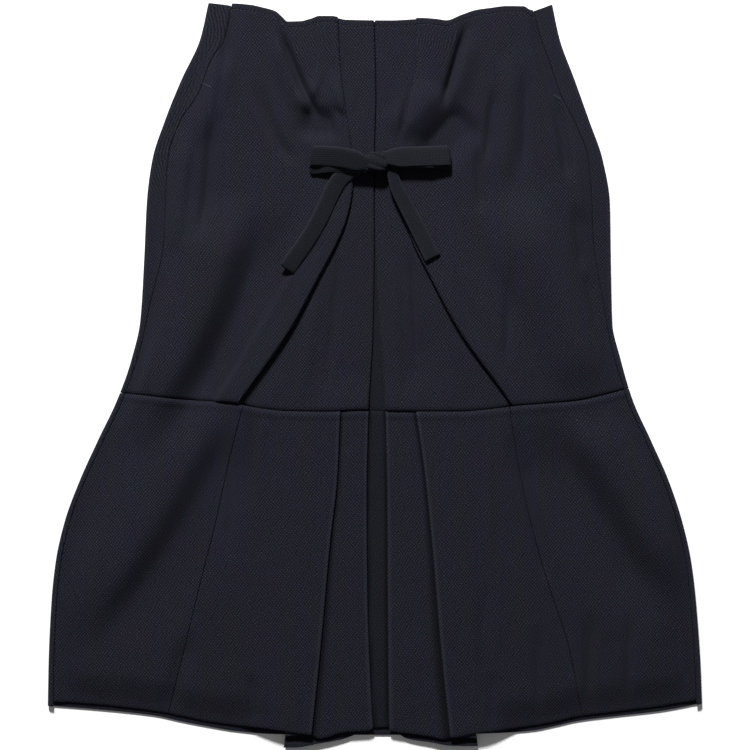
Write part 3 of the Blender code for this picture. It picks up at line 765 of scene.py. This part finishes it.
def underlay_height(x, down):
    """Level under the pleats; the hem's free corners curl up a little below the gores."""
    return UNDERLAY + HEM_CURL * ease((down - HEM_CURL_FROM) / HEM_CURL_RISE)


def shade_between_pleats(x, down, z):
    """Painted shade on the underlay beside the centre pleat's folds."""
    left, right = edge(CENTRE_PLEAT, "left")(down), edge(CENTRE_PLEAT, "right")(down)
    return 0.8 * near(np.minimum(np.abs(x - left), np.abs(x - right)), 1.0, 3.0)


flounce_underlay = panel(
    "cloth_flounce_underlay",
    flat_lanes(pleat_depth("left", -1), pleat_depth("right", 1),
               shares(170, 4, True, True), underlay_height),
    across_edge(CURVED_SEAM, SEAM_GAP / 2), across_edge(UNDERLAY_HEM), 4, 1,
    WOOL_SHADED, crease_shade=shade_between_pleats)
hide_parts("flounce_underlay")


# Centre gores of the flounce
# Each gore has a deep pleat whose pressed edge stands over the middle of the skirt, a hidden
# fold behind it, and the fold that meets its neighbour at centre front.

OUTER_RETURN = OVER_PLEAT + PITCH
OUTER = OUTER_RETURN + PITCH
FLOUNCE_RETURN_WIDTH = 42.0
GORE_STACK_FALL = 54.0
HEM_FALL = 36.0
HEM_FOLD_SHARE = 0.5
SEAM_FALL = 70.0
SIDE_FOLD_END = 138.0
SIDE_FOLD_REACH = 21.0
SIDE_FOLD_RISE = 14.0
GUTTER_TOP = 2.0
GUTTER_GAIN = 5.0
GUTTER_FROM = 470.0
GUTTER_RUN = 250.0
GORE_SEAM = columns("down left right", [
    (420, -136, 140),
    (486, -153, 150.5),
    (550, -167, 164.5),
    (610, -182, 181.5),
    (676, -198, 203),
    (755, -218, 218.5),
])
GORE_HEM = columns("x down", [
    (-345, 733.5), (-300, 736.5), (-272, 739), (-228, 744.5), (-204, 749), (-178, 754.5),
    (-145, 759), (-109, 761.8), (-83, 765.5), (-66, 767.5), (0, 771), (81, 770.5),
    (104, 766.5), (132, 763.3), (166, 759.5), (190, 755.3), (213, 750), (255, 744.5),
    (300, 739), (345, 731),
])
MIDDLE_HEM = columns("x down", [
    (-110, 771), (-72, 768.6), (-66, 769), (-59, 772.4), (-48, 770.5), (-36, 766.5),
    (-22, 765), (-6, 764), (0, 761.5), (12, 762), (16, 764), (35, 767), (49, 768.6),
    (61, 770.7), (72, 773.3), (79, 772), (86, 771), (120, 772),
])


def gore_height(x, down):
    """Middle of the flounce's outer wall."""
    depth = edge(OUTER_PLEAT, "depth")(down)
    left = edge(OUTER_PLEAT, "left")(down) - depth
    right = edge(OUTER_PLEAT, "right")(down) + depth
    outward = np.where(x < (left + right) / 2, left - x, x - right)
    packed = near(outward, PACKED_MARGIN, PACKED_FALL)
    to_hem = ease((down - across_edge(GORE_HEM, -HEM_FALL)(x)) / HEM_FALL)
    to_hem = to_hem * ease((from_outline(x, down) - SIDE_SEAM_INSET) / EDGE_CALM)
    base = front_level(x, down)
    base = base + (LOWEST_FRONT - base) * to_hem
    over_pleats = (OUTER - base) * near(outward, STACK_MARGIN, GORE_STACK_FALL)
    beyond_fold = np.abs(x) - SIDE_FOLD_END
    over_side = 2 * PITCH * near(beyond_fold, SIDE_FOLD_REACH, STACK_FALL)
    over_side = over_side * ease(1 + beyond_fold / SIDE_FOLD_RISE)
    over_side = over_side * near(down, SEAM_RISE_TO, SEAM_FALL)
    folds = waves(x, down, packed) * (1 - HEM_FOLD_SHARE * to_hem)
    return clear_of_back(base + over_pleats + over_side + folds)


def shade_beside_fold(x, down, z):
    """Painted shade where the middle of a gore runs in under its outer fold."""
    left, right = edge(OUTER_PLEAT, "left")(down), edge(OUTER_PLEAT, "right")(down)
    gutter = GUTTER_TOP + GUTTER_GAIN * ease((down - GUTTER_FROM) / GUTTER_RUN)
    beside = np.maximum(near(x - left, 1.5, gutter), near(right - x, 1.5, 1.6 * gutter))
    under_fold = (z < OUTER_RETURN) & (x > left - 2) & (x < right + 2)
    return np.where(under_fold, 0.75 * beside, 0)


ROLL = 0.9
ROLL_CREST = 4.5
ROLL_REACH = 2.6
SEWN_DROP = 0.8
SEWN_REACH = 2.5
HEM_DROP = 0.5
HEM_REACH = 3.5


def rolled_top(x, down, z, from_top, from_bottom):
    """The flounce's top edge rolls up a little beside the curved seam; the hem is pressed."""
    roll = ROLL * np.exp(-((from_top - ROLL_CREST) / ROLL_REACH) ** 2)
    roll -= SEWN_DROP * (1 - ease(from_top / SEWN_REACH))
    pressed = HEM_DROP * (1 - ease(from_bottom / HEM_REACH))
    return z + roll - pressed + HANDLING * handling(x, down)


for name, side in SIDES:
    outer, middle = edge(OUTER_PLEAT, name), edge(CENTRE_PLEAT, name)
    hidden = pleat_depth(name, side)
    seam = shifted(edge(GORE_SEAM, name), -side * SEAM_GAP / 2)

    def return_end(down, middle=middle, side=side):
        return middle(down) + side * FLOUNCE_RETURN_WIDTH

    outer_root = fold_root(outer, level(OUTER_RETURN), gore_height, -side)
    hidden_root = fold_root(hidden, level(OVER_PLEAT), level(OUTER_RETURN), side)
    middle_root = fold_root(middle, level(PLEAT_RETURN), level(OVER_PLEAT), -side)
    lanes = flat_lanes(
        return_end, middle_root, shares(42, 6, start_edge=True)[:-1], level(PLEAT_RETURN))
    lanes += turn_lanes(middle, level(PLEAT_RETURN), level(OVER_PLEAT), -side)
    lanes += flat_lanes(middle_root, hidden_root, inner(shares(75, 3)), level(OVER_PLEAT))
    lanes += turn_lanes(hidden, level(OVER_PLEAT), level(OUTER_RETURN), side, steps=5)
    hems = [across_edge(MIDDLE_HEM)] * len(lanes)
    lanes += turn_lanes(outer, level(OUTER_RETURN), gore_height, -side)
    lanes += flat_lanes(outer_root, seam, shares(120, 2.6, end_edge=True)[1:], gore_height)
    hems += [across_edge(GORE_HEM)] * (len(lanes) - len(hems))
    piece = panel(
        f"cloth_flounce_centre_{name}", lanes, across_edge(CURVED_SEAM, SEAM_GAP / 2), hems,
        FINE_STEP, side, WOOL, 0.3, rolled_top, shade_beside_fold)
    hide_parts(f"flounce_centre_{name}")


# Side gores of the flounce
# A flared gore on each side, sewn to the centre gore along a slanting seam and to the back
# just in from the side fold.

for name, side in SIDES:
    gore = shifted(edge(GORE_SEAM, name), side * SEAM_GAP / 2)
    seam = shifted(edge(OUTLINE, name), -side * (SIDE_SEAM_INSET + SEAM_GAP / 2))
    lanes = flat_lanes(gore, seam, shares(130, 2.4, True, True), gore_height)
    piece = panel(
        f"cloth_flounce_side_{name}", lanes, across_edge(CURVED_SEAM, SEAM_GAP / 2),
        across_edge(GORE_HEM), FINE_STEP, side, WOOL, 0.0, rolled_top)
    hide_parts(f"flounce_side_{name}")


# Back of the flounce
# One wide flared piece. It comes round both side folds like the back above it, and its hem
# hangs a few millimetres lower than the front's.

BACK_HEM = columns("x down", [
    (-345, 738.5), (-272, 744.5), (-228, 749.7), (-204, 755), (-178, 760), (-145, 765.5),
    (-109, 768.6), (-60, 769.5), (60, 769.5), (132, 767.6), (166, 765), (190, 760.2),
    (213, 755), (255, 749.7), (300, 744.5), (345, 736),
])
seam_line = SIDE_SEAM_INSET - SEAM_GAP / 2
seams = {name: shifted(edge(OUTLINE, name), -side * seam_line) for name, side in SIDES}
back_flounce = panel(
    "cloth_back_flounce", back_wrap_lanes(seams, gore_height, 3, 640),
    across_edge(CURVED_SEAM, SEAM_GAP / 2), across_edge(BACK_HEM), 3.6, -1, WOOL, 0.15)
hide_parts("back_flounce")


# Waist topstitching and pocket bar tacks
# The turned waist edge is stitched down 7 mm below its fold, in thread a shade lighter than
# the wool. A bar tack closes each pocket mouth at its top.

# Corespun polyester thread, matt navy. Single stitches catch a little more light than wool.
thread = bpy.data.materials.new("polyester_thread_navy")
thread.use_nodes = True
thread_tree = thread.node_tree
thread_shader = thread_tree.nodes["Principled BSDF"]
ply = add_node(thread_tree, "ShaderNodeTexWave", {
    "Vector": add_node(thread_tree, "ShaderNodeTexCoord").outputs["Object"],
    "Scale": 800.0, "Distortion": 1.0})
twist = add_node(thread_tree, "ShaderNodeMixRGB", {
    "Fac": ply.outputs["Fac"], "Color1": hex_colour("16171e"), "Color2": hex_colour("2b2d3b")})
thread_tree.links.new(twist.outputs["Color"], thread_shader.inputs["Base Color"])
thread_shader.inputs["Roughness"].default_value = 0.7


def stitch_tree():
    """Stitches along a curve: small rounded bars, each turned along or across it."""
    tree = bpy.data.node_groups.new("stitches_along_line", "GeometryNodeTree")
    tree.interface.new_socket("Line", in_out="INPUT", socket_type="NodeSocketGeometry")
    sizes = {}
    for label in ("Spacing", "Stitch length", "Thread radius", "Turn", "Jitter"):
        sizes[label] = tree.interface.new_socket(
            label, in_out="INPUT", socket_type="NodeSocketFloat").identifier
    tree.interface.new_socket("Stitches", in_out="OUTPUT", socket_type="NodeSocketGeometry")
    given = add_node(tree, "NodeGroupInput").outputs
    spots = add_node(tree, "GeometryNodeCurveToPoints", {
        "Curve": given["Line"], "Length": given["Spacing"]}, mode="LENGTH")
    wander = add_node(tree, "FunctionNodeRandomValue", {
        "Min": (-1, -1, 0), "Max": (1, 1, 0), "Seed": 7}, data_type="FLOAT_VECTOR")
    offset = add_node(tree, "ShaderNodeVectorMath", {
        0: wander.outputs["Value"], "Scale": given["Jitter"]}, operation="SCALE")
    moved = add_node(tree, "GeometryNodeSetPosition", {
        "Geometry": spots.outputs["Points"], "Offset": offset.outputs["Vector"]})
    bar = add_node(tree, "GeometryNodeMeshUVSphere", {
        "Segments": 8, "Rings": 6, "Radius": 1.0})
    smoothed = add_node(tree, "GeometryNodeSetShadeSmooth", {"Geometry": bar.outputs["Mesh"]})
    half_length = add_node(tree, "ShaderNodeMath", {
        0: given["Stitch length"], 1: 0.5}, operation="MULTIPLY")
    proportions = add_node(tree, "ShaderNodeCombineXYZ", {
        "X": given["Thread radius"], "Y": given["Thread radius"],
        "Z": half_length.outputs["Value"]})
    shaped = add_node(tree, "GeometryNodeTransform", {
        "Geometry": smoothed.outputs["Geometry"], "Scale": proportions.outputs["Vector"]})
    turn = add_node(tree, "FunctionNodeRotateRotation", {
        "Rotation": spots.outputs["Rotation"]})
    turn_by = add_node(tree, "FunctionNodeAxisAngleToRotation", {
        "Axis": (0, 0, 1), "Angle": given["Turn"]})
    tree.links.new(turn_by.outputs["Rotation"], turn.inputs["Rotate By"])
    placed = add_node(tree, "GeometryNodeInstanceOnPoints", {
        "Points": moved.outputs["Geometry"], "Instance": shaped.outputs["Geometry"],
        "Rotation": turn.outputs["Rotation"]})
    real = add_node(tree, "GeometryNodeRealizeInstances", {
        "Geometry": placed.outputs["Instances"]})
    dressed = add_node(tree, "GeometryNodeSetMaterial", {
        "Geometry": real.outputs["Geometry"], "Material": thread})
    add_node(tree, "NodeGroupOutput", {"Stitches": dressed.outputs["Geometry"]})
    return tree, sizes


STITCHES, STITCH_SIZES = stitch_tree()


def sewn(name, lines, **sizes):
    """Stitches along lines of places, as one plain mesh."""
    curve = bpy.data.curves.new(name + "_line", "CURVE")
    curve.dimensions = "3D"
    for line in lines:
        spline = curve.splines.new("POLY")
        spline.points.add(len(line) - 1)
        spline.points.foreach_set("co", np.insert(line, 3, 1, axis=1).ravel())
    guide = bpy.data.objects.new(name + "_line", curve)
    bpy.context.scene.collection.objects.link(guide)
    made = guide.modifiers.new("stitches", "NODES")
    made.node_group = STITCHES
    for label, value in sizes.items():
        made[STITCH_SIZES[label.replace("_", " ").capitalize()]] = float(value)
    view = bpy.context.evaluated_depsgraph_get()
    mesh = bpy.data.meshes.new_from_object(guide.evaluated_get(view), depsgraph=view)
    bpy.data.objects.remove(guide)
    piece = bpy.data.objects.new(name, mesh)
    piece.data.name = name
    bpy.context.scene.collection.objects.link(piece)
    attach(piece, "root")
    return piece


def top_of(height, x, down, lift=0.1):
    return laid(x, down, height(x, down) + CLOTH / 2 + lift)


def waist_run(start, end, height, offset):
    x = np.linspace(start, end, max(12, int(abs(end - start) / 3)))
    return top_of(height, x, across_edge(FRONT_WAIST, offset)(x))


waist_lines = [
    waist_run(-147, -43, side_height, STITCH_FROM_EDGE),
    waist_run(-35.5, -3, centre_height, STITCH_FROM_EDGE),
    waist_run(3, 40, centre_height, STITCH_FROM_EDGE),
    waist_run(48, 161, side_height, STITCH_FROM_EDGE),
]
sewn("waist_topstitching", waist_lines, spacing=0.0039, stitch_length=0.003,
     thread_radius=0.00028, turn=0, jitter=0.00012)

TACKS = columns("x1 down1 x2 down2", [
    (-180, 87, -172, 91),
    (188, 99, 194, 103),
])
tack_lines = [
    top_of(side_height, np.linspace(x1, x2, 6), np.linspace(d1, d2, 6), 0.25)
    for x1, d1, x2, d2 in zip(*vars(TACKS).values())
]
sewn("pocket_bar_tacks", tack_lines, spacing=0.0006, stitch_length=0.0024,
     thread_radius=0.0003, turn=0, jitter=0.0002)


# The bow's tails
# The tie is a tube of the skirt's wool, turned, pressed flat and closed at its ends. Its two
# free ends lie down the front from under the knot.

TIE = 3.4
TIE_CLEARANCE = 0.5
PUFF = 0.16
PUFF_EVERY = 5.2
TAIL_BASE = OUTER + CLOTH / 2 + TIE_CLEARANCE + TIE / 2
LEFT_TAIL = columns("x down lift width", [
    (-14, 174.5, 0, 14),
    (-33, 185, 0, 17),
    (-42, 197, 0, 18),
    (-50, 214, 0, 17.5),
    (-63, 240, 0, 17.5),
    (-91.5, 282, 0, 17.5),
])
RIGHT_TAIL = columns("x down lift width", [
    (15, 168, 2, 7),
    (22.5, 195, 1, 13.5),
    (31.5, 213, 0.6, 15.5),
    (41, 231, 0.2, 16.5),
    (61, 270.5, 0, 17.5),
])
WOOL_TIE = wool_twill(
    "wool_twill_tie", hex_colour("131418"), hex_colour("1e2026"), hex_colour("2a2c33"), grain=0.8)


def tie_tube(name, path, cross, width, thick, crumple):
    """A flat tube of cloth along a path, closed at both ends, with soft rounded edges."""
    path, cross = np.asarray(path, float), np.asarray(cross, float)
    ahead = np.gradient(path, axis=0)
    ahead /= np.linalg.norm(ahead, axis=1, keepdims=True)
    cross /= np.linalg.norm(cross, axis=1, keepdims=True)
    up = np.cross(cross, ahead)
    up /= np.linalg.norm(up, axis=1, keepdims=True)
    ring = np.linspace(0, 2 * math.pi, 36, endpoint=False)
    side_way = np.sign(np.cos(ring)) * np.abs(np.cos(ring)) ** 0.55
    up_way = np.sign(np.sin(ring)) * np.abs(np.sin(ring)) ** 0.75
    run = np.insert(np.cumsum(np.linalg.norm(np.diff(path, axis=0), axis=1)), 0, 0)
    puff = 1 + crumple * PUFF * np.sin(run / PUFF_EVERY)[:, None] * np.cos(ring)[None]
    half_width, half_thick = width[:, None] / 2, thick[:, None] / 2 * puff
    points = (path[:, None] + cross[:, None] * (side_way * half_width)[..., None]
              + up[:, None] * (up_way * half_thick)[..., None])
    count, around = len(path), len(ring)
    index = np.arange(count * around).reshape(count, around)
    beside = np.roll(index, -1, axis=1)
    faces = np.stack([index[:-1], beside[:-1], beside[1:], index[1:]], axis=-1).reshape(-1, 4)
    mesh = bpy.data.meshes.new(name)
    places = laid(points[..., 0], points[..., 1], points[..., 2]).reshape(-1, 3)
    ends = [index[0][::-1].tolist(), index[-1].tolist()]
    mesh.from_pydata(places.tolist(), [], faces.tolist() + ends)
    shaper = bmesh.new()
    shaper.from_mesh(mesh)
    uv_layer = shaper.loops.layers.uv.new("cloth")
    flat = np.stack(np.broadcast_arrays(
        side_way[None] * half_width, -run[:, None]), axis=-1).reshape(-1, 2) * MM
    for face in shaper.faces:
        for loop in face.loops:
            loop[uv_layer].uv = flat[loop.vert.index]
    bmesh.ops.recalc_face_normals(shaper, faces=shaper.faces)
    shaper.to_mesh(mesh)
    shaper.free()
    # Painted highlight along the tube's pressed edges
    rim = np.broadcast_to(np.abs(side_way) ** 6, points.shape[:2])
    mesh.attributes.new("painted_highlight", "FLOAT", "POINT").data.foreach_set(
        "value", (0.5 * rim).ravel().astype("f"))
    mesh.shade_smooth()
    mesh.materials.append(WOOL_TIE)
    piece = bpy.data.objects.new(name, mesh)
    bpy.context.scene.collection.objects.link(piece)
    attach(piece, "root")
    return piece


def rounded_end(count, tail_only=False):
    """Thickness factor that closes a tube softly over its last few rings."""
    at = np.ones(count)
    closing = np.array([0.05, 0.45, 0.72, 0.9])
    at[-4:] = closing[::-1]
    if not tail_only:
        at[:4] = closing
    return at


TAIL_STEPS = 60
END_CLOSE = 0.12


def tail(name, table, roll):
    step = np.linspace(0, 1, TAIL_STEPS)
    ends = 1 - (1 - step[-4:]) * END_CLOSE
    step = np.concatenate([step[:-4] * ends[0] / step[-4], ends])
    at = table.down[0] + (table.down[-1] - table.down[0]) * step
    x, lift, width = (smooth(table.down, column, at) for column in (table.x, table.lift, table.width))
    beside = [side_height(x + share * width, at) for share in (-0.5, 0, 0.5)]
    surface = np.maximum.reduce(beside)
    z = np.maximum(surface, OUTER) - OUTER + TAIL_BASE + lift
    slope = np.gradient(x, at)
    cross = np.stack([1 + 0 * x, -slope, roll + 0 * x], axis=1)
    thick = TIE * rounded_end(len(at), tail_only=True)
    return tie_tube(name, np.stack([x, at, z], axis=1), cross, width, thick, 0.35)


for name, table, roll in (("left", LEFT_TAIL, -0.2), ("right", RIGHT_TAIL, -0.08)):
    piece = tail(f"tie_tail_{name}", table, roll)
    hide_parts(f"bow_tail_{name}")


# The bow's loops
# Each loop goes out from the knot, round at its tip and back underneath, pinched where the
# knot grips it. The lower run sags towards the hem a little.

LOOP_WIDTH = 21.0
LOOP_PINCH = 0.62
LOOP_PINCHED_FOR = 0.3
LOOP_ARCH = 1.2
LOOP_LOW_FROM = 0.7
LOOP_REST = 26.0
LOOP_COLUMNS = "root_x root_down tip_x tip_down under_from low_root top_root opening bend sag roll"
LOOPS = columns(LOOP_COLUMNS, [
    (-4, 174, -67, 163.5, 0, 18.9, 22.6, 5.0, 2.5, 9, 0.2),
    (8, 166.5, 79.5, 163.5, 0.12, 18.9, 22.6, 4.6, 0, 3, 0.12),
])


def tip_rest(tip, inward, sag):
    """Height of the tie's middle where it rests on the cloth under a loop's tip."""
    x = tip[0] + inward * np.linspace(0, LOOP_REST, 6)[:, None]
    down = tip[1] + np.linspace(-LOOP_WIDTH / 2, LOOP_WIDTH / 2 + sag, 7)[None]
    return float(side_height(x, down).max()) + CLOTH / 2 + TIE_CLEARANCE + TIE / 2


for (name, _), values in zip(SIDES, zip(*vars(LOOPS).values())):
    row = SimpleNamespace(**dict(zip(LOOP_COLUMNS.split(), values)))
    start, tip = np.array([row.root_x, row.root_down]), np.array([row.tip_x, row.tip_down])
    ahead = (tip - start) / np.hypot(*(tip - start))
    low_tip = tip_rest(tip, -np.sign(ahead[0]), row.sag)
    top_tip = low_tip + row.opening
    radius = row.opening / 2
    length = np.hypot(*(tip - start)) - radius - TIE / 2
    path, widths = [], []

    def add_place(share, beyond, down, height):
        lift = row.bend * math.sin(math.pi * min(share, 1))
        place = start + ahead * (length * share + beyond) + (0, down - lift)
        path.append((*place, height))
        opened = ease(share / LOOP_PINCHED_FOR)
        widths.append(LOOP_WIDTH * (LOOP_PINCH + (1 - LOOP_PINCH) * opened))

    for share in np.linspace(0, 1, 30):
        height = row.top_root + (top_tip - row.top_root) * share
        add_place(share, 0, 0, height + LOOP_ARCH * math.sin(math.pi * share))
    for angle in np.linspace(0, math.pi, 14)[1:-1]:
        height = (top_tip + low_tip) / 2 + radius * math.cos(angle)
        add_place(1, radius * math.sin(angle), row.sag * (1 - math.cos(angle)) / 2, height)
    for share in np.linspace(1, row.under_from, 26):
        lowered = ease((share - LOOP_LOW_FROM) / (1 - LOOP_LOW_FROM))
        height = row.low_root + (low_tip - row.low_root) * lowered
        add_place(share, 0, row.sag * share, height)
    cross = np.tile([-ahead[1], ahead[0], row.roll], (len(path), 1))
    piece = tie_tube(
        f"tie_loop_{name}", path, cross, np.array(widths), TIE * rounded_end(len(path)), 0.6)
    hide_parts(f"bow_loop_{name}")


# The bow's knot
# The tie is wound once round both loops and pulled tight, so the knot is a rounded lump with
# a slanting wrap across it and creases where the cloth is drawn in.

KNOT = SimpleNamespace(x=2.6, down=170.5, width=24, length=21, height=16)
KNOT_BASE = OVER_PLEAT + CLOTH / 2 + TIE_CLEARANCE

shaper = bmesh.new()
bmesh.ops.create_cube(shaper, size=2)
bmesh.ops.subdivide_edges(shaper, edges=shaper.edges, cuts=21, use_grid_fill=True)
knot_uv = shaper.loops.layers.uv.new("cloth")
half = Vector((KNOT.width / 2, KNOT.length / 2, KNOT.height / 2))
for vert in shaper.verts:
    way = vert.co.copy()
    size = (abs(way.x) ** 4 + abs(way.y) ** 4 + abs(way.z) ** 4) ** 0.25
    box_like = way / size
    along_wrap = box_like.y * 0.93 + box_like.x * 0.36
    creases = -0.075 * math.exp(-((along_wrap - 0.52) / 0.07) ** 2)
    creases -= 0.09 * math.exp(-((along_wrap + 0.46) / 0.06) ** 2)
    creases += 0.03 * math.cos(along_wrap * 9)
    pinch = 1 - 0.14 * abs(box_like.x) ** 2 * (1 if box_like.x > 0 else 0.6)
    vert.co = Vector((
        box_like.x * half.x,
        box_like.y * half.y * pinch * (1 + creases),
        box_like.z * half.z * (1 + creases)))
for face in shaper.faces:
    for loop in face.loops:
        loop[knot_uv].uv = (loop.vert.co.x * MM, (loop.vert.co.y + loop.vert.co.z) * MM)
centre = Vector(laid(KNOT.x, KNOT.down, KNOT_BASE + KNOT.height / 2).tolist())
for vert in shaper.verts:
    vert.co = vert.co * MM + centre
knot_mesh = bpy.data.meshes.new("tie_knot")
shaper.to_mesh(knot_mesh)
shaper.free()
knot_mesh.shade_smooth()
knot_mesh.materials.append(WOOL_TIE)
# The knot has no painted highlight
knot_mesh.attributes.new("painted_highlight", "FLOAT", "POINT")
knot = bpy.data.objects.new("tie_knot", knot_mesh)
bpy.context.scene.collection.objects.link(knot)
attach(knot, "root")
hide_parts("bow_knot")


# Floor, light and camera
# A pale matt floor just under the skirt, one large soft light above the waist, weak light
# from all round, and a camera that looks straight down.

FLOOR_BELOW = 0.0004

bpy.ops.mesh.primitive_plane_add(size=12, location=(0, 0, -FLOOR_BELOW))
floor = bpy.context.object
floor.name = "floor"
paint = bpy.data.materials.new("matt_white_board")
paint.use_nodes = True
paint_shader = paint.node_tree.nodes["Principled BSDF"]
paint_shader.inputs["Base Color"].default_value = hex_colour("f4f4f4")
paint_shader.inputs["Roughness"].default_value = 0.9
floor.data.materials.append(paint)

key_data = bpy.data.lights.new("key", "AREA")
key_data.shape = "DISK"
key_data.size = 0.6
key_data.energy = 340
key = bpy.data.objects.new("key", key_data)
key.location = (-0.55, 3.2, 2.4)
key.rotation_euler = (-key.location).to_track_quat("-Z", "Y").to_euler()
bpy.context.scene.collection.objects.link(key)

world = bpy.data.worlds.new("studio")
bpy.context.scene.world = world
world.use_nodes = True
world.node_tree.nodes["Background"].inputs["Color"].default_value = (1, 1, 1, 1)
world.node_tree.nodes["Background"].inputs["Strength"].default_value = 0.17

camera_data = bpy.data.cameras.new("camera")
camera_data.lens = 85
camera_data.sensor_width = 36
camera = bpy.data.objects.new("camera", camera_data)
camera.location = (0, 0, 1.859)
bpy.context.scene.collection.objects.link(camera)
bpy.context.scene.camera = camera
bpy.context.scene.view_settings.view_transform = "Standard"
